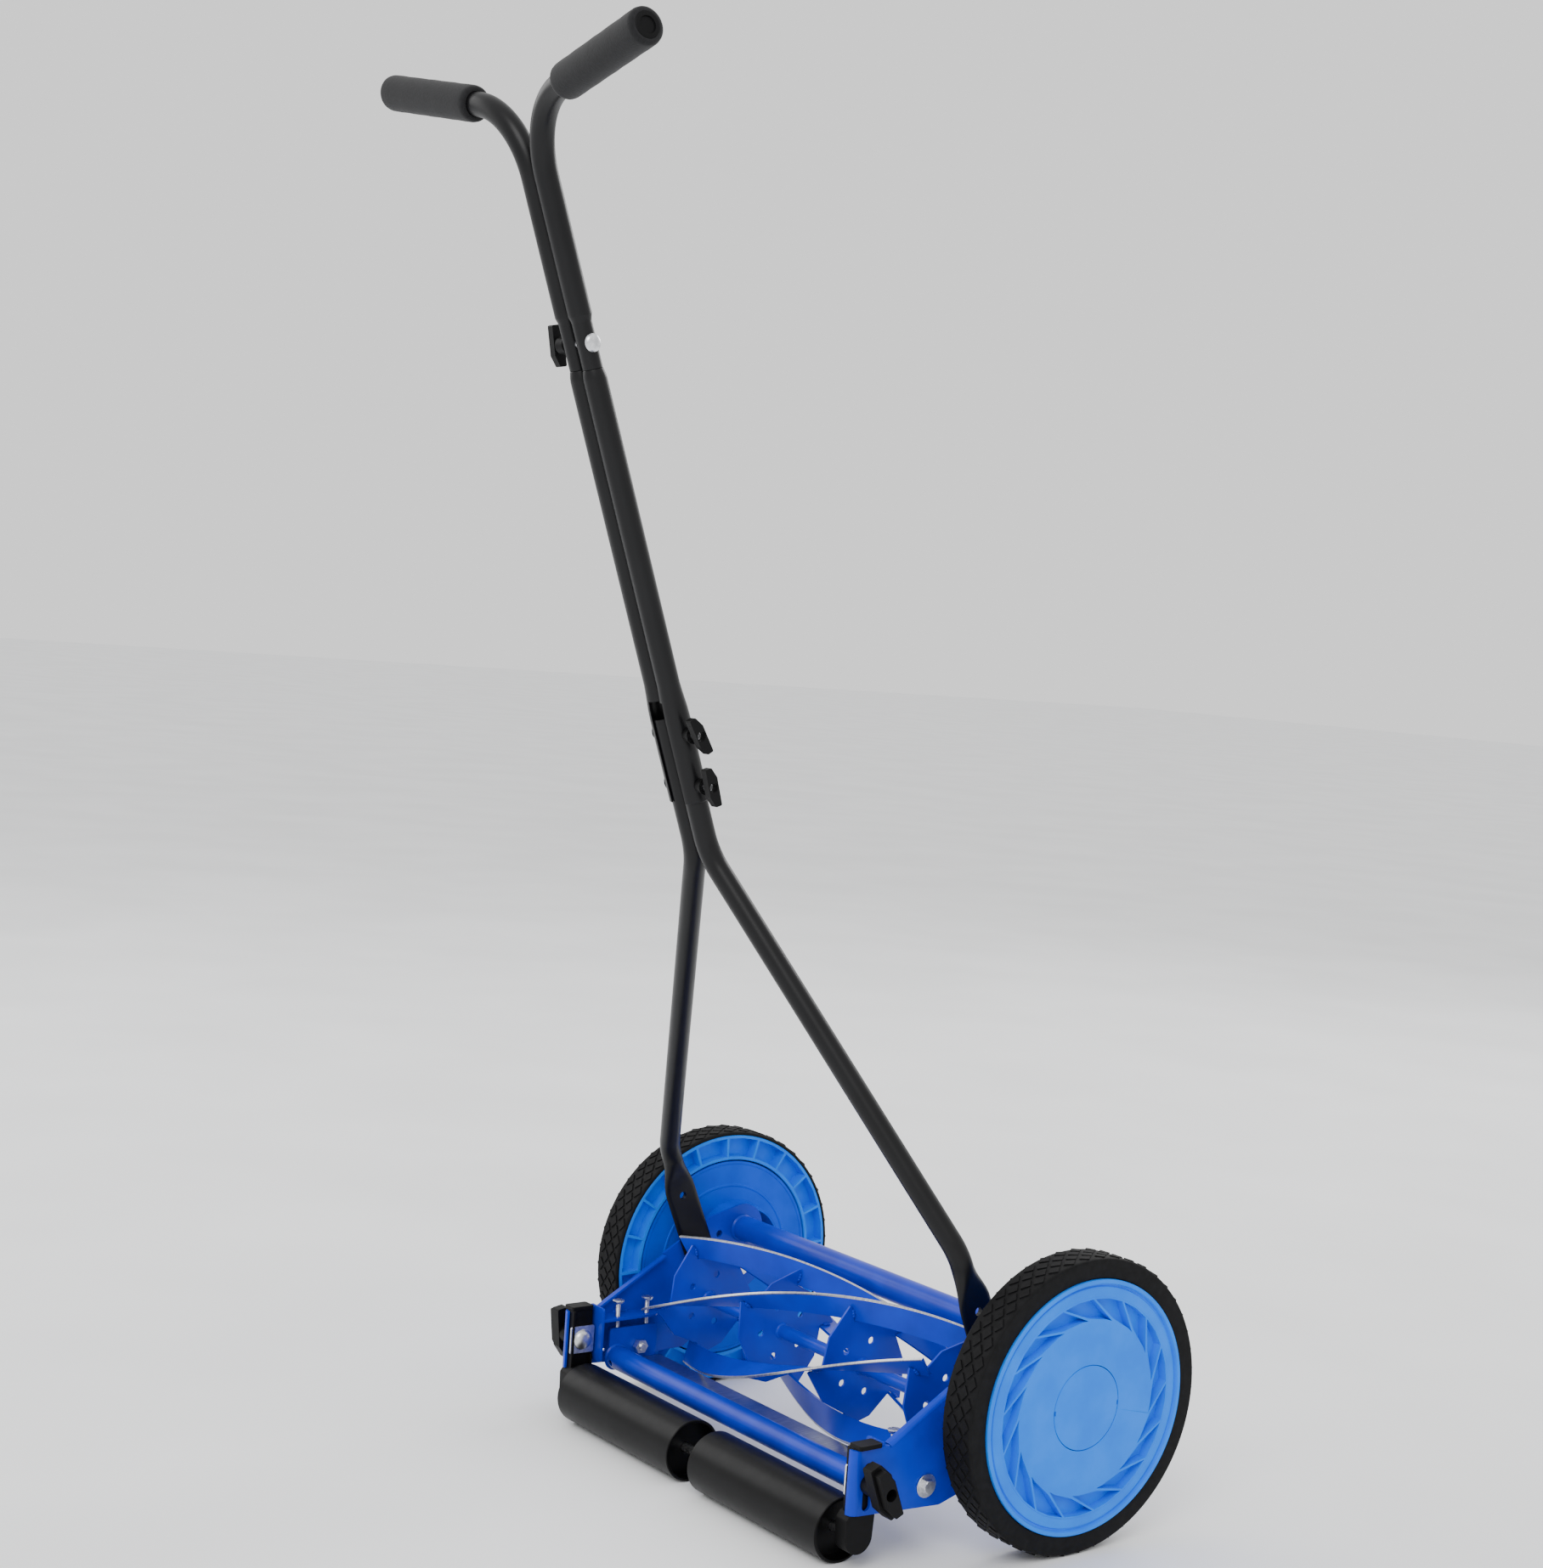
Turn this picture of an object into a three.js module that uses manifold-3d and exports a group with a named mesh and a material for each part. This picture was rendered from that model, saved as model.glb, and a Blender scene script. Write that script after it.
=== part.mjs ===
// Push reel mower: two driven wheels with internal ring gears turn a five-blade reel against a bed knife.
// Units are millimetres. X runs along the wheel axles, +Y points forward, +Z is up.
// Everything is laid out from the ground point under the axles, and the finished group is then moved
// so that the origin is the middle of the bounding box's base.
import * as THREE from 'three';
import { mergeVertices } from 'three/addons/utils/BufferGeometryUtils.js';
import Module from 'manifold-3d';

const wasm = await Module();
wasm.setup();

// ---- fits ----
const gap = 0.3; // between pieces that touch
const runningGap = 0.5; // between pieces that turn in one another

// ---- wheels ----
const wheelRadius = 127;
const axleHeight = wheelRadius;
const plateInnerX = 220; // inner side of a side plate, from the middle of the mower
const wheelStandOff = 23.3; // from a side plate's inner side to its wheel
const tyreWidth = 35;
const wheelInnerX = plateInnerX + wheelStandOff; // inner side of a wheel
const tyreShoulder = 1; // how far the tyre's edges drop below its crown
const wheelSides = 32; // flats round a wheel, the same for a tyre and its hub
const rimInnerRadius = 122.5; // flange of the hub at the wheel's inner side
const rimOuterRadius = 108.6; // lip of the hub at the wheel's outer side
const rimStep = 14.7; // length of the wide part of the hub's rim
const hubProud = 2; // how far the hub stands out of the tyre
const barrelRadius = 98; // inside of the hub's drum
const barrelWall = 4;
const hubFloor = 10.3; // thickness of the hub's disc
const capRadius = 36;
const capWall = 2.5;
const capDrop = 1; // how far the cap lies below the hub's lip
const capSeat = 3.4; // floor of the hub cap's recess, from the hub's inner face
const swirlCount = 17;
const swirlInner = 75;
const swirlOuter = 91;
const swirlDepth = 7;
const swirlShare = 0.8; // part of each pocket's turn that is open
const swirlSlant = 18; // degrees that a pocket's inner edge is turned ahead
const webCount = 20; // pockets round the inner side of the rim
const webWall = 3;
const webDepth = 12;

// ---- gears ----
const gearModule = 3;
const ringTeeth = 56;
const pinionTeeth = 12;
const pinionTip = 0.8; // the same heights for the pinion
const pinionRoot = 1.05;
const gearFace = 15;
const toothTip = 0.85; // height of a ring tooth inside the pitch circle, in modules
const toothRoot = 1.25; // depth of the space outside it
const gearSpacing = gearModule * (ringTeeth - pinionTeeth) / 2; // wheel axle to reel shaft
const reelDrop = 15.5; // degrees that the reel lies below the axle, seen from the side

// ---- axles ----
const axleRadius = 8;
const collarRadius = 13; // collar of the stub axle, inside its plate
const collarLength = 3;
const bossRadius = 17;

// ---- dust covers ----
const coverInset = 1.2; // from the wheel's inner side
const coverThickness = 2;
const hoodRadius = 42;
const hoodWall = 2.5;
const hoodY = 8;
const hoodZ = axleHeight + 13;

// ---- side plates ----
const plateThickness = 2.5;
const plateBottom = axleHeight - 79;
const armTop = axleHeight - 25;
const armRear = -196;
const slopeStart = -162;
const slopeEnd = -36;
const slopeRise = 0.593; // height gained per millimetre forward
const armFoot = [[-60, axleHeight - 77], [-84, axleHeight - 77.5], [-104, axleHeight - 83.5]]; // low edge behind the axle
const tieHeight = axleHeight + 35;
const tieForward = 2;
const tieRadius = 12.5;
const plateCrown = 24; // radius of the plate round the tie tube's end
const axleLobe = 28; // radius of the plate in front of the axle
const flangeWidth = 8;
const flangeLength = 82;
const flangeStart = 2; // along the slope
const spareHole = { y: -25, z: axleHeight + 31.5, radius: 3.5 };
const slotY = -181.5;
const slotBottom = axleHeight - 76;
const slotTop = axleHeight - 36;
const boltRadius = 3.5;
const boltGap = 0.5; // radial, in every bolt hole

// ---- reel ----
const reelRadius = 66;
const bladeCount = 5;
const bladeWidth = 22;
const bladeThickness = 2.5;
const bladeInset = 28; // from a side plate to the ends of the blades
const bladeHalfLength = plateInnerX - bladeInset;
const bladeTwist = 0.33; // degrees per millimetre
const bladePhase = 51; // degrees of the first blade at the middle
const shaftRadius = 6;
const spiderThickness = 2.5;
const spiderPlaces = [-177, -59, 59, 177];
const spiderSpread = 7; // half the width of each flat that holds a blade, in degrees
const spiderHoleRadius = 3;
const spiderHoleCircle = 24;
const bushFlange = 12;
const bushWall = 3;

// ---- cutter bar ----
const pivotY = -120;
const pivotZ = axleHeight - 64.5;
const cutterTubeY = -145;
const cutterTubeZ = axleHeight - 72.5;
const cutterTubeRadius = 11;
const endPlateInset = 14; // from a side plate to the inner face of its end plate
const endPlateX = plateInnerX - endPlateInset; // inner face of each end plate
const endPlateRear = -153;
const endPlateFront = -100.5;
const endPlateFoot = [axleHeight - 81.5, axleHeight - 80]; // lower edge at the rear and at the front
const endPlateTop = axleHeight - 44.75;
const knifeThickness = 3;
const knifeClearance = 0.6; // between the knife's edge and the blades' circle
const knifeAngle = 240; // degrees round the reel to the knife's edge

// ---- adjuster brackets ----
const sheet = 2.5;
const webY = -167;
const webBottom = axleHeight - 74;
const webTop = axleHeight - 22;
const webWidth = 21; // from a side plate to the web's inner edge
const webInnerX = plateInnerX - webWidth;
const tabZ = axleHeight - 34.5;
const tabFront = -102;
const screwInset = 12.5; // from a side plate to the adjuster screws
const screwX = plateInnerX - screwInset;
const screwRadius = 2.5;
const screwTop = axleHeight - 17.4;
const screwHeadRadius = 5.8;
const screwHeadHeight = 3.6;
const screwPlaces = [-145, -113];

// ---- rear rollers ----
const rollerY = -184.5;
const rollerRadius = 27.6;
const rollerGapHalf = 15.8;
const rollerInset = 21.9; // from a side plate to the roller's end
const rollerLength = plateInnerX - rollerInset - rollerGapHalf;
const rollerWall = 3;
const rollerRecess = 12; // depth of the open ends
const rodRadius = 4;
const bracketThickness = 15;
const bracketWidth = 29;
const bracketRear = 15; // from the middle of the slot to the rear edge at the top
const bracketFront = 13;
const hookHeight = 4;
const carriageBoltZ = axleHeight - 53;
const carriageHeadRadius = 9;

// ---- handle ----
const handlePivotY = -45;
const handlePivotZ = axleHeight + 7;
const forkLean = 23.4; // degrees back from upright, pivot to where the two tubes meet
const stemLean = 20.3; // degrees back from upright, above that
const tubeRadius = 9.5;
const tubeWall = 1.5;
const strapThickness = 5;
const strapWidth = 33;
const strapParallel = 78; // along the handle from the pivot, to where the flat end starts to narrow
const strapEnd = 118; // and to where it is as narrow as the tube
const strapHole = 74;
const tubeStart = 80; // where the round tube begins
const forkInset = 7; // from a side plate to the middle of its fork tube
const forkX = plateInnerX - forkInset; // middle of a fork tube above its flattened end
const forkBend = 127; // along the handle from the pivot
const meetAt = 460; // where the fork tubes come together
const stemGap = 0.15; // from the middle of the mower to a tube
const stemX = tubeRadius + stemGap; // middle of each tube where they run together
const shellBottom = 507;
const forkTop = 578;
const shellTop = 605;
const shellCover = 1.7; // how far the shell stands out of the tube
const shellRadius = tubeRadius + shellCover;
const flareLength = 22;
const lowerBolts = [521, 565];
const jointBottom = 864;
const jointTop = 906;
const upperBolt = 884;
const neckStep = 1.5; // from the tube to its neck
const neckRadius = tubeRadius - neckStep;
const spigotLength = 34;
const handleCorner = 1062;
const handleBend = 62;
const gripStart = 57; // from the corner to the foam
const gripLength = 124;
const gripFoam = 4.5; // from the tube to the outside of the grip
const gripRadius = tubeRadius + gripFoam;
const gripRise = 21.6; // how far the grip rises over its length
const gripSet = -9; // how far it runs back over its length

// ---- wing knobs: length, width, depth of the bar, then the boss ----
const handleKnob = { length: 38, width: 15, depth: 12, boss: 8, bossRadius: 6 };
const bracketKnob = { length: 50, width: 20, depth: 18, boss: 13, bossRadius: 8 };

// ---- finishes ----
const finishes = {
  blueSteel: { color: 0x0f55c8, roughness: 0.35, metalness: 0.2 },
  bluePlastic: { color: 0x2f7de0, roughness: 0.45, metalness: 0 },
  blackTube: { color: 0x26262a, roughness: 0.4, metalness: 0.3 },
  blackPlastic: { color: 0x222224, roughness: 0.55, metalness: 0 },
  rubber: { color: 0x1c1c1d, roughness: 0.85, metalness: 0 },
  foam: { color: 0x2a2a2c, roughness: 0.95, metalness: 0 },
  zinc: { color: 0xc4c6c8, roughness: 0.3, metalness: 0.9 },
  steel: { color: 0x8d9094, roughness: 0.35, metalness: 0.9 },
};

const mower = new THREE.Group();

function add(name, geometry, finish) {
  const mesh = new THREE.Mesh(geometry, new THREE.MeshStandardMaterial(finishes[finish]));
  mesh.name = name;
  mower.add(mesh);
  return mesh;
}

const radians = THREE.MathUtils.degToRad;

// ---- joining and cutting ----
function toSolid(geometry) {
  const bare = geometry.clone();
  bare.deleteAttribute('normal');
  bare.deleteAttribute('uv');
  const merged = mergeVertices(bare, 1e-4);
  return new wasm.Manifold(new wasm.Mesh({
    numProp: 3,
    vertProperties: new Float32Array(merged.attributes.position.array),
    triVerts: new Uint32Array(merged.index.array),
  }));
}

function toGeometry(solid) {
  const mesh = solid.getMesh();
  const geometry = new THREE.BufferGeometry();
  geometry.setAttribute('position', new THREE.BufferAttribute(mesh.vertProperties, 3));
  geometry.setIndex(new THREE.BufferAttribute(mesh.triVerts, 1));
  return geometry;
}

function fuse(...pieces) {
  const joined = pieces.map(toSolid).reduce((whole, piece) => whole.add(piece));
  return toGeometry(joined);
}

function carve(base, ...tools) {
  const left = tools.map(toSolid).reduce((whole, tool) => whole.subtract(tool), toSolid(base));
  return toGeometry(left);
}

// the same shape on the other side of the mower, with its faces still pointing out
function mirrored(geometry) {
  const copy = geometry.clone();
  copy.scale(-1, 1, 1);
  if (copy.index) {
    const order = copy.index.array;
    for (let i = 0; i < order.length; i += 3) [order[i], order[i + 1]] = [order[i + 1], order[i]];
    return copy;
  }
  const place = copy.attributes.position;
  const corner = new THREE.Vector3();
  const next = new THREE.Vector3();
  for (let i = 0; i < place.count; i += 3) {
    corner.fromBufferAttribute(place, i);
    next.fromBufferAttribute(place, i + 1);
    place.setXYZ(i, next.x, next.y, next.z);
    place.setXYZ(i + 1, corner.x, corner.y, corner.z);
  }
  return copy;
}

function addPair(name, geometry, finish) {
  add(`${name}_right`, geometry, finish);
  add(`${name}_left`, mirrored(geometry), finish);
}

// ---- basic forms ----
function block(x0, x1, y0, y1, z0, z1) {
  const box = new THREE.BoxGeometry(x1 - x0, y1 - y0, z1 - z0);
  return box.translate((x0 + x1) / 2, (y0 + y1) / 2, (z0 + z1) / 2);
}

// a round bar along X
function barX(radius, x0, x1, y, z, sides = 16) {
  const bar = new THREE.CylinderGeometry(radius, radius, Math.abs(x1 - x0), sides);
  return bar.rotateZ(-Math.PI / 2).translate((x0 + x1) / 2, y, z);
}

// a round bar along Z
function barZ(radius, x, y, z0, z1, sides = 12) {
  const bar = new THREE.CylinderGeometry(radius, radius, z1 - z0, sides);
  return bar.rotateX(Math.PI / 2).translate(x, y, (z0 + z1) / 2);
}

// a shape turned about a line along X; the profile holds [x, radius] pairs
// what rolls on the ground has a flat at the bottom, and its radii are measured to the middle of the flats
function turnX(profile, y, z, sides, rolls = false) {
  const grow = rolls ? 1 / Math.cos(Math.PI / sides) : 1;
  const outline = profile.map(([x, radius]) => new THREE.Vector2(radius * grow, x));
  const closed = profile[0][1] > 0 ? [...outline, outline[0]] : outline;
  const form = new THREE.LatheGeometry(closed, sides, rolls ? Math.PI / sides : 0);
  return outward(form).rotateZ(-Math.PI / 2).translate(0, y, z);
}

// turns a closed mesh the right way out when its volume comes out negative
function outward(geometry) {
  const flat = geometry.index ? geometry.toNonIndexed() : geometry;
  const place = flat.attributes.position;
  const [a, b, c] = [new THREE.Vector3(), new THREE.Vector3(), new THREE.Vector3()];
  let volume = 0;
  for (let i = 0; i < place.count; i += 3) {
    a.fromBufferAttribute(place, i);
    b.fromBufferAttribute(place, i + 1);
    c.fromBufferAttribute(place, i + 2);
    volume += a.dot(b.cross(c));
  }
  if (volume > 0) return geometry;
  const order = geometry.index.array;
  for (let i = 0; i < order.length; i += 3) [order[i], order[i + 1]] = [order[i + 1], order[i]];
  return geometry;
}

// a flat outline in Y and Z, given its thickness along X
function sheetX(outline, x0, x1, curveSegments = 8) {
  const form = new THREE.ExtrudeGeometry(outline, { depth: x1 - x0, bevelEnabled: false, curveSegments });
  const turn = new THREE.Matrix4().makeBasis(
    new THREE.Vector3(0, 1, 0), new THREE.Vector3(0, 0, 1), new THREE.Vector3(1, 0, 0));
  return form.applyMatrix4(turn).translate(x0, 0, 0);
}

function outlineOf(points) {
  return new THREE.Shape(points.map(([y, z]) => new THREE.Vector2(y, z)));
}

function polygonHole(radius, y, z, sides = 12) {
  const hole = new THREE.Path();
  for (let i = 0; i < sides; i += 1) {
    const angle = 2 * Math.PI * i / sides;
    const point = [y + radius * Math.cos(angle), z + radius * Math.sin(angle)];
    if (i === 0) hole.moveTo(...point);
    else hole.lineTo(...point);
  }
  return hole;
}

function ringSection(outer, inner, outerSides = 11, innerSides = 6) {
  const section = new THREE.Shape(polygonHole(outer, 0, 0, outerSides).getPoints());
  if (inner > 0) section.holes.push(polygonHole(inner, 0, 0, innerSides));
  return section;
}

// a tube swept along straight runs joined by rounded corners
function sweep(points, bends, outer, inner, steps) {
  const path = new THREE.CurvePath();
  let from = points[0];
  for (let i = 1; i < points.length - 1; i += 1) {
    const back = points[i - 1].clone().sub(points[i]).normalize();
    const ahead = points[i + 1].clone().sub(points[i]).normalize();
    const turn = Math.PI - back.angleTo(ahead);
    const reach = bends[i - 1] * Math.tan(turn / 2);
    const start = points[i].clone().addScaledVector(back, reach);
    const end = points[i].clone().addScaledVector(ahead, reach);
    const pull = 4 / 3 * Math.tan(turn / 4) * bends[i - 1];
    path.add(new THREE.LineCurve3(from, start));
    path.add(new THREE.CubicBezierCurve3(
      start, start.clone().addScaledVector(back, -pull), end.clone().addScaledVector(ahead, -pull), end));
    from = end;
  }
  path.add(new THREE.LineCurve3(from, points.at(-1)));
  return new THREE.ExtrudeGeometry(ringSection(outer, inner), { steps, extrudePath: path });
}

// ---- fasteners ----
function carriageBolt(xHead, xEnd, y, z, radius, headRadius) {
  const out = Math.sign(xHead - xEnd);
  const head = [[xHead, headRadius], [xHead + out * 2, headRadius * 0.8],
    [xHead + out * 3.2, headRadius * 0.4], [xHead + out * 3.5, 0]];
  return turnX([[xEnd, 0], [xEnd, radius], [xHead, radius], ...head], y, z, 10);
}

// a hexagon bolt with a washer under its head and its nut on the far end
function hexBolt(xHead, xNut, nutLength, y, z, washerRadius) {
  const washer = barX(washerRadius, xHead, xHead + 1.5, y, z, 14);
  const head = barX(boltRadius * 1.85, xHead + 1, xHead + 6, y, z, 6);
  const nut = barX(boltRadius * 1.85, xNut - nutLength, xNut, y, z, 6);
  const shank = barX(boltRadius, xNut - nutLength - 2, xHead + 1, y, z, 10);
  return fuse(shank, washer, head, nut);
}

// a long six-sided bar on a round boss, with a bolt hole right through
function wingKnob(size, x, side, y, z, tilt) {
  const half = size.length / 2;
  const flat = size.width / 2;
  const outline = outlineOf([[flat, half * 0.45], [flat * 0.35, half], [-flat * 0.75, half],
    [-flat, -half * 0.45], [-flat * 0.35, -half], [flat * 0.75, -half]]);
  const barStart = size.boss;
  const bar = sheetX(outline, barStart, barStart + size.depth);
  const boss = barX(size.bossRadius, 0, barStart + 1, 0, 0, 12);
  const bore = barX(boltRadius + boltGap, -1, barStart + size.depth + 1, 0, 0, 10);
  let knob = carve(fuse(bar, boss), bore).rotateX(radians(tilt));
  if (side < 0) knob = mirrored(knob);
  return knob.translate(x, y, z);
}

// ---- wheels ----
const wheelOuterX = wheelInnerX + tyreWidth;
const hubOuterX = wheelOuterX + hubProud;
const hubFloorX = hubOuterX - 1.4 - hubFloor;

function tyre() {
  const seat = rimInnerRadius + gap;
  const lip = rimOuterRadius + gap;
  const stepX = wheelInnerX + rimStep + gap;
  const edge = wheelRadius - tyreShoulder;
  return turnX([[wheelInnerX, seat], [wheelInnerX, edge], [wheelInnerX + 5, wheelRadius],
    [wheelOuterX - 5, wheelRadius], [wheelOuterX, edge], [wheelOuterX, lip], [stepX, lip], [stepX, seat]],
  0, axleHeight, wheelSides, true);
}

function sector(inner, outer, startAngle, endAngle, slant, x0, x1) {
  const at = (radius, angle) => [radius * Math.cos(angle), axleHeight + radius * Math.sin(angle)];
  const corners = [at(inner, startAngle + slant), at(outer, startAngle), at(outer, endAngle),
    at(inner, endAngle + slant)];
  return sheetX(outlineOf(corners), x0, x1);
}

function hub() {
  const wide = wheelInnerX + rimStep;
  const face = hubOuterX - 1.4;
  const bore = axleRadius + runningGap;
  const drum = turnX([[wheelInnerX + 6, bore], [wheelInnerX + 6, bossRadius], [hubFloorX, bossRadius],
    [hubFloorX, barrelRadius], [wheelInnerX, barrelRadius], [wheelInnerX, rimInnerRadius],
    [wide, rimInnerRadius], [wide, rimOuterRadius], [hubOuterX, rimOuterRadius],
    [hubOuterX, rimOuterRadius - 5], [face - 2, rimOuterRadius - 7], [face - 2, swirlOuter + 2],
    [face, swirlOuter + 1], [face, capRadius + gap], [hubFloorX + capSeat, capRadius + gap],
    [hubFloorX + capSeat, bore]], 0, axleHeight, wheelSides, true);
  const cuts = [];
  for (let i = 0; i < swirlCount; i += 1) {
    const start = 2 * Math.PI * i / swirlCount;
    const end = start + 2 * Math.PI / swirlCount * swirlShare;
    cuts.push(sector(swirlInner, swirlOuter, start, end, radians(swirlSlant), face - swirlDepth, face + 1));
  }
  for (let i = 0; i < webCount; i += 1) {
    const start = 2 * Math.PI * i / webCount;
    const inner = barrelRadius + barrelWall;
    const outer = rimInnerRadius - webWall;
    const end = start + 2 * Math.PI / webCount - webWall / outer;
    cuts.push(sector(inner, outer, start, end, 0, wheelInnerX - 1, wheelInnerX + webDepth));
  }
  return fuse(carve(drum, ...cuts), ringGear());
}

const ringPitch = gearModule * ringTeeth / 2;
const pinionPitch = gearModule * pinionTeeth / 2;
const gearStartX = hubFloorX - gearFace;

// a gear outline with straight flanks; each place is [part of a tooth's turn, distance from the pitch circle]
function gearOutline(teeth, pitchRadius, places, y, z) {
  const points = [];
  for (let i = 0; i < teeth; i += 1) {
    for (const [share, offset] of places) {
      const angle = reelAngle + 2 * Math.PI * (i + share) / teeth;
      const radius = pitchRadius + offset;
      points.push(new THREE.Vector2(y + radius * Math.cos(angle), z + radius * Math.sin(angle)));
    }
  }
  return points;
}

const reelAngle = Math.PI + radians(reelDrop);
const reelY = gearSpacing * Math.cos(reelAngle);
const reelZ = axleHeight + gearSpacing * Math.sin(reelAngle);

// the ring's teeth stand inside the hub's drum; a space between two of them faces the reel shaft
function ringGear() {
  const body = polygonHole(barrelRadius + 2, 0, axleHeight, wheelSides).getPoints();
  const shape = new THREE.Shape(body);
  const places = [[0, gearModule * toothRoot], [0.5, -gearModule * toothTip]];
  shape.holes.push(new THREE.Path(gearOutline(ringTeeth, ringPitch, places, 0, axleHeight)));
  return sheetX(shape, gearStartX, hubFloorX + 1);
}

// a tooth of the pinion faces away from the wheel axle, into that space
function pinion() {
  const places = [[-0.26, -gearModule * pinionRoot], [-0.08, gearModule * pinionTip],
    [0.08, gearModule * pinionTip], [0.26, -gearModule * pinionRoot]];
  const shape = new THREE.Shape(gearOutline(pinionTeeth, pinionPitch, places, reelY, reelZ));
  shape.holes.push(polygonHole(shaftRadius + gap, reelY, reelZ, 12));
  return sheetX(shape, gearStartX + 1, gearStartX + gearFace - 2);
}

const capInnerX = hubFloorX + capSeat + gap;
const capOuterX = hubOuterX - capDrop;

addPair('tyre', tyre(), 'rubber');
addPair('hub', hub(), 'bluePlastic');
addPair('pinion', pinion(), 'steel');
addPair('hub_cap', turnX([[capOuterX, 0], [capOuterX, capRadius], [capInnerX, capRadius],
  [capInnerX, capRadius - capWall], [capOuterX - 2, capRadius - capWall], [capOuterX - 2, 0]],
0, axleHeight, 24), 'bluePlastic');

// ---- stub axles, each with a collar inside its plate ----
const plateOuterX = plateInnerX + plateThickness;
const collarX = plateInnerX - gap;
addPair('axle', turnX([[collarX - collarLength, 0], [collarX - collarLength, collarRadius],
  [collarX, collarRadius], [collarX, axleRadius], [capInnerX + 3, axleRadius], [capInnerX + 3, 0]],
0, axleHeight, 14), 'steel');

// ---- side plates ----
function slotPath(y, z0, z1, halfWidth) {
  const path = new THREE.Path();
  const sides = 6;
  for (let i = 0; i <= sides; i += 1) {
    const angle = Math.PI * i / sides;
    const point = [y + halfWidth * Math.cos(angle), z1 - halfWidth + halfWidth * Math.sin(angle)];
    if (i === 0) path.moveTo(...point);
    else path.lineTo(...point);
  }
  for (let i = 0; i <= sides; i += 1) {
    const angle = Math.PI + Math.PI * i / sides;
    path.lineTo(y + halfWidth * Math.cos(angle), z0 + halfWidth + halfWidth * Math.sin(angle));
  }
  return path;
}

const slopeAngle = Math.atan(slopeRise);

function sidePlate() {
  const shape = new THREE.Shape();
  const arc = (y, z, radius, fromAngle, toAngle, sides) => {
    for (let i = 0; i <= sides; i += 1) {
      const angle = radians(fromAngle + (toAngle - fromAngle) * i / sides);
      shape.lineTo(y + radius * Math.cos(angle), z + radius * Math.sin(angle));
    }
  };
  shape.moveTo(armRear, plateBottom);
  shape.lineTo(armRear, armTop);
  shape.lineTo(slopeStart, armTop);
  shape.lineTo(slopeEnd, armTop + (slopeEnd - slopeStart) * slopeRise);
  arc(tieForward, tieHeight, plateCrown, 105, 0, 6);
  arc(0, axleHeight, axleLobe, 20, -40, 4);
  for (const corner of armFoot) shape.lineTo(...corner);
  shape.holes.push(polygonHole(axleRadius + runningGap, 0, axleHeight, 14));
  shape.holes.push(polygonHole(shaftRadius + bushWall + runningGap, reelY, reelZ, 14));
  shape.holes.push(polygonHole(boltRadius + boltGap, handlePivotY, handlePivotZ));
  shape.holes.push(polygonHole(boltRadius + boltGap, pivotY, pivotZ));
  shape.holes.push(polygonHole(spareHole.radius, spareHole.y, spareHole.z, 8));
  shape.holes.push(slotPath(slotY, slotBottom, slotTop, boltRadius + boltGap));
  const plate = sheetX(shape, plateInnerX, plateOuterX);
  const flange = block(plateOuterX - flangeWidth, plateOuterX, flangeStart, flangeStart + flangeLength,
    -plateThickness, 0);
  flange.rotateX(slopeAngle).translate(0, slopeStart, armTop);
  return fuse(plate, flange, adjusterBracket());
}

addPair('side_plate', sidePlate(), 'blueSteel');
const tieEnd = plateInnerX - gap;
add('tie_tube', turnX([[-tieEnd, tieRadius - tubeWall], [-tieEnd, tieRadius], [tieEnd, tieRadius],
  [tieEnd, tieRadius - tubeWall]], tieForward, tieHeight, 18), 'blueSteel');

// ---- dust covers over the gears, each with a half-round hood standing in from its face ----
const coverX = wheelInnerX + coverInset;
function dustCover() {
  const start = plateOuterX + gap;
  const disc = barX(barrelRadius - 1.5, coverX, coverX + coverThickness, 0, axleHeight, wheelSides);
  const hood = barX(hoodRadius, start, coverX + 1, hoodY, hoodZ, 20);
  const inside = barX(hoodRadius - hoodWall, start - 1, coverX, hoodY, hoodZ, 20);
  const below = block(start - 1, coverX, hoodY - hoodRadius - 1, hoodY + hoodRadius + 1,
    hoodZ - hoodRadius - 1, hoodZ);
  const through = coverX + coverThickness + 1;
  const shaftHole = barX(shaftRadius + 2, coverX - 1, through, reelY, reelZ, 10);
  const axleHole = barX(axleRadius + 1, coverX - 1, through, 0, axleHeight, 14);
  return carve(fuse(disc, carve(hood, inside, below)), shaftHole, axleHole);
}
addPair('dust_cover', dustCover(), 'bluePlastic');

// ---- reel: shaft, four spiders and five twisted blades ----
const shaftEnd = gearStartX + gearFace - 0.5;
add('reel_shaft', turnX([[-shaftEnd, 0], [-shaftEnd, shaftRadius], [shaftEnd, shaftRadius], [shaftEnd, 0]],
  reelY, reelZ, 12), 'blueSteel');
const bushBore = shaftRadius + runningGap;
const bushRadius = shaftRadius + bushWall;
addPair('reel_bush', turnX([[plateInnerX - 3, bushBore], [plateInnerX - 3, bushRadius],
  [plateOuterX + gap, bushRadius], [plateOuterX + gap, bushFlange], [plateOuterX + 2, bushFlange],
  [plateOuterX + 2, bushBore]], reelY, reelZ, 14), 'steel');

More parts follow.
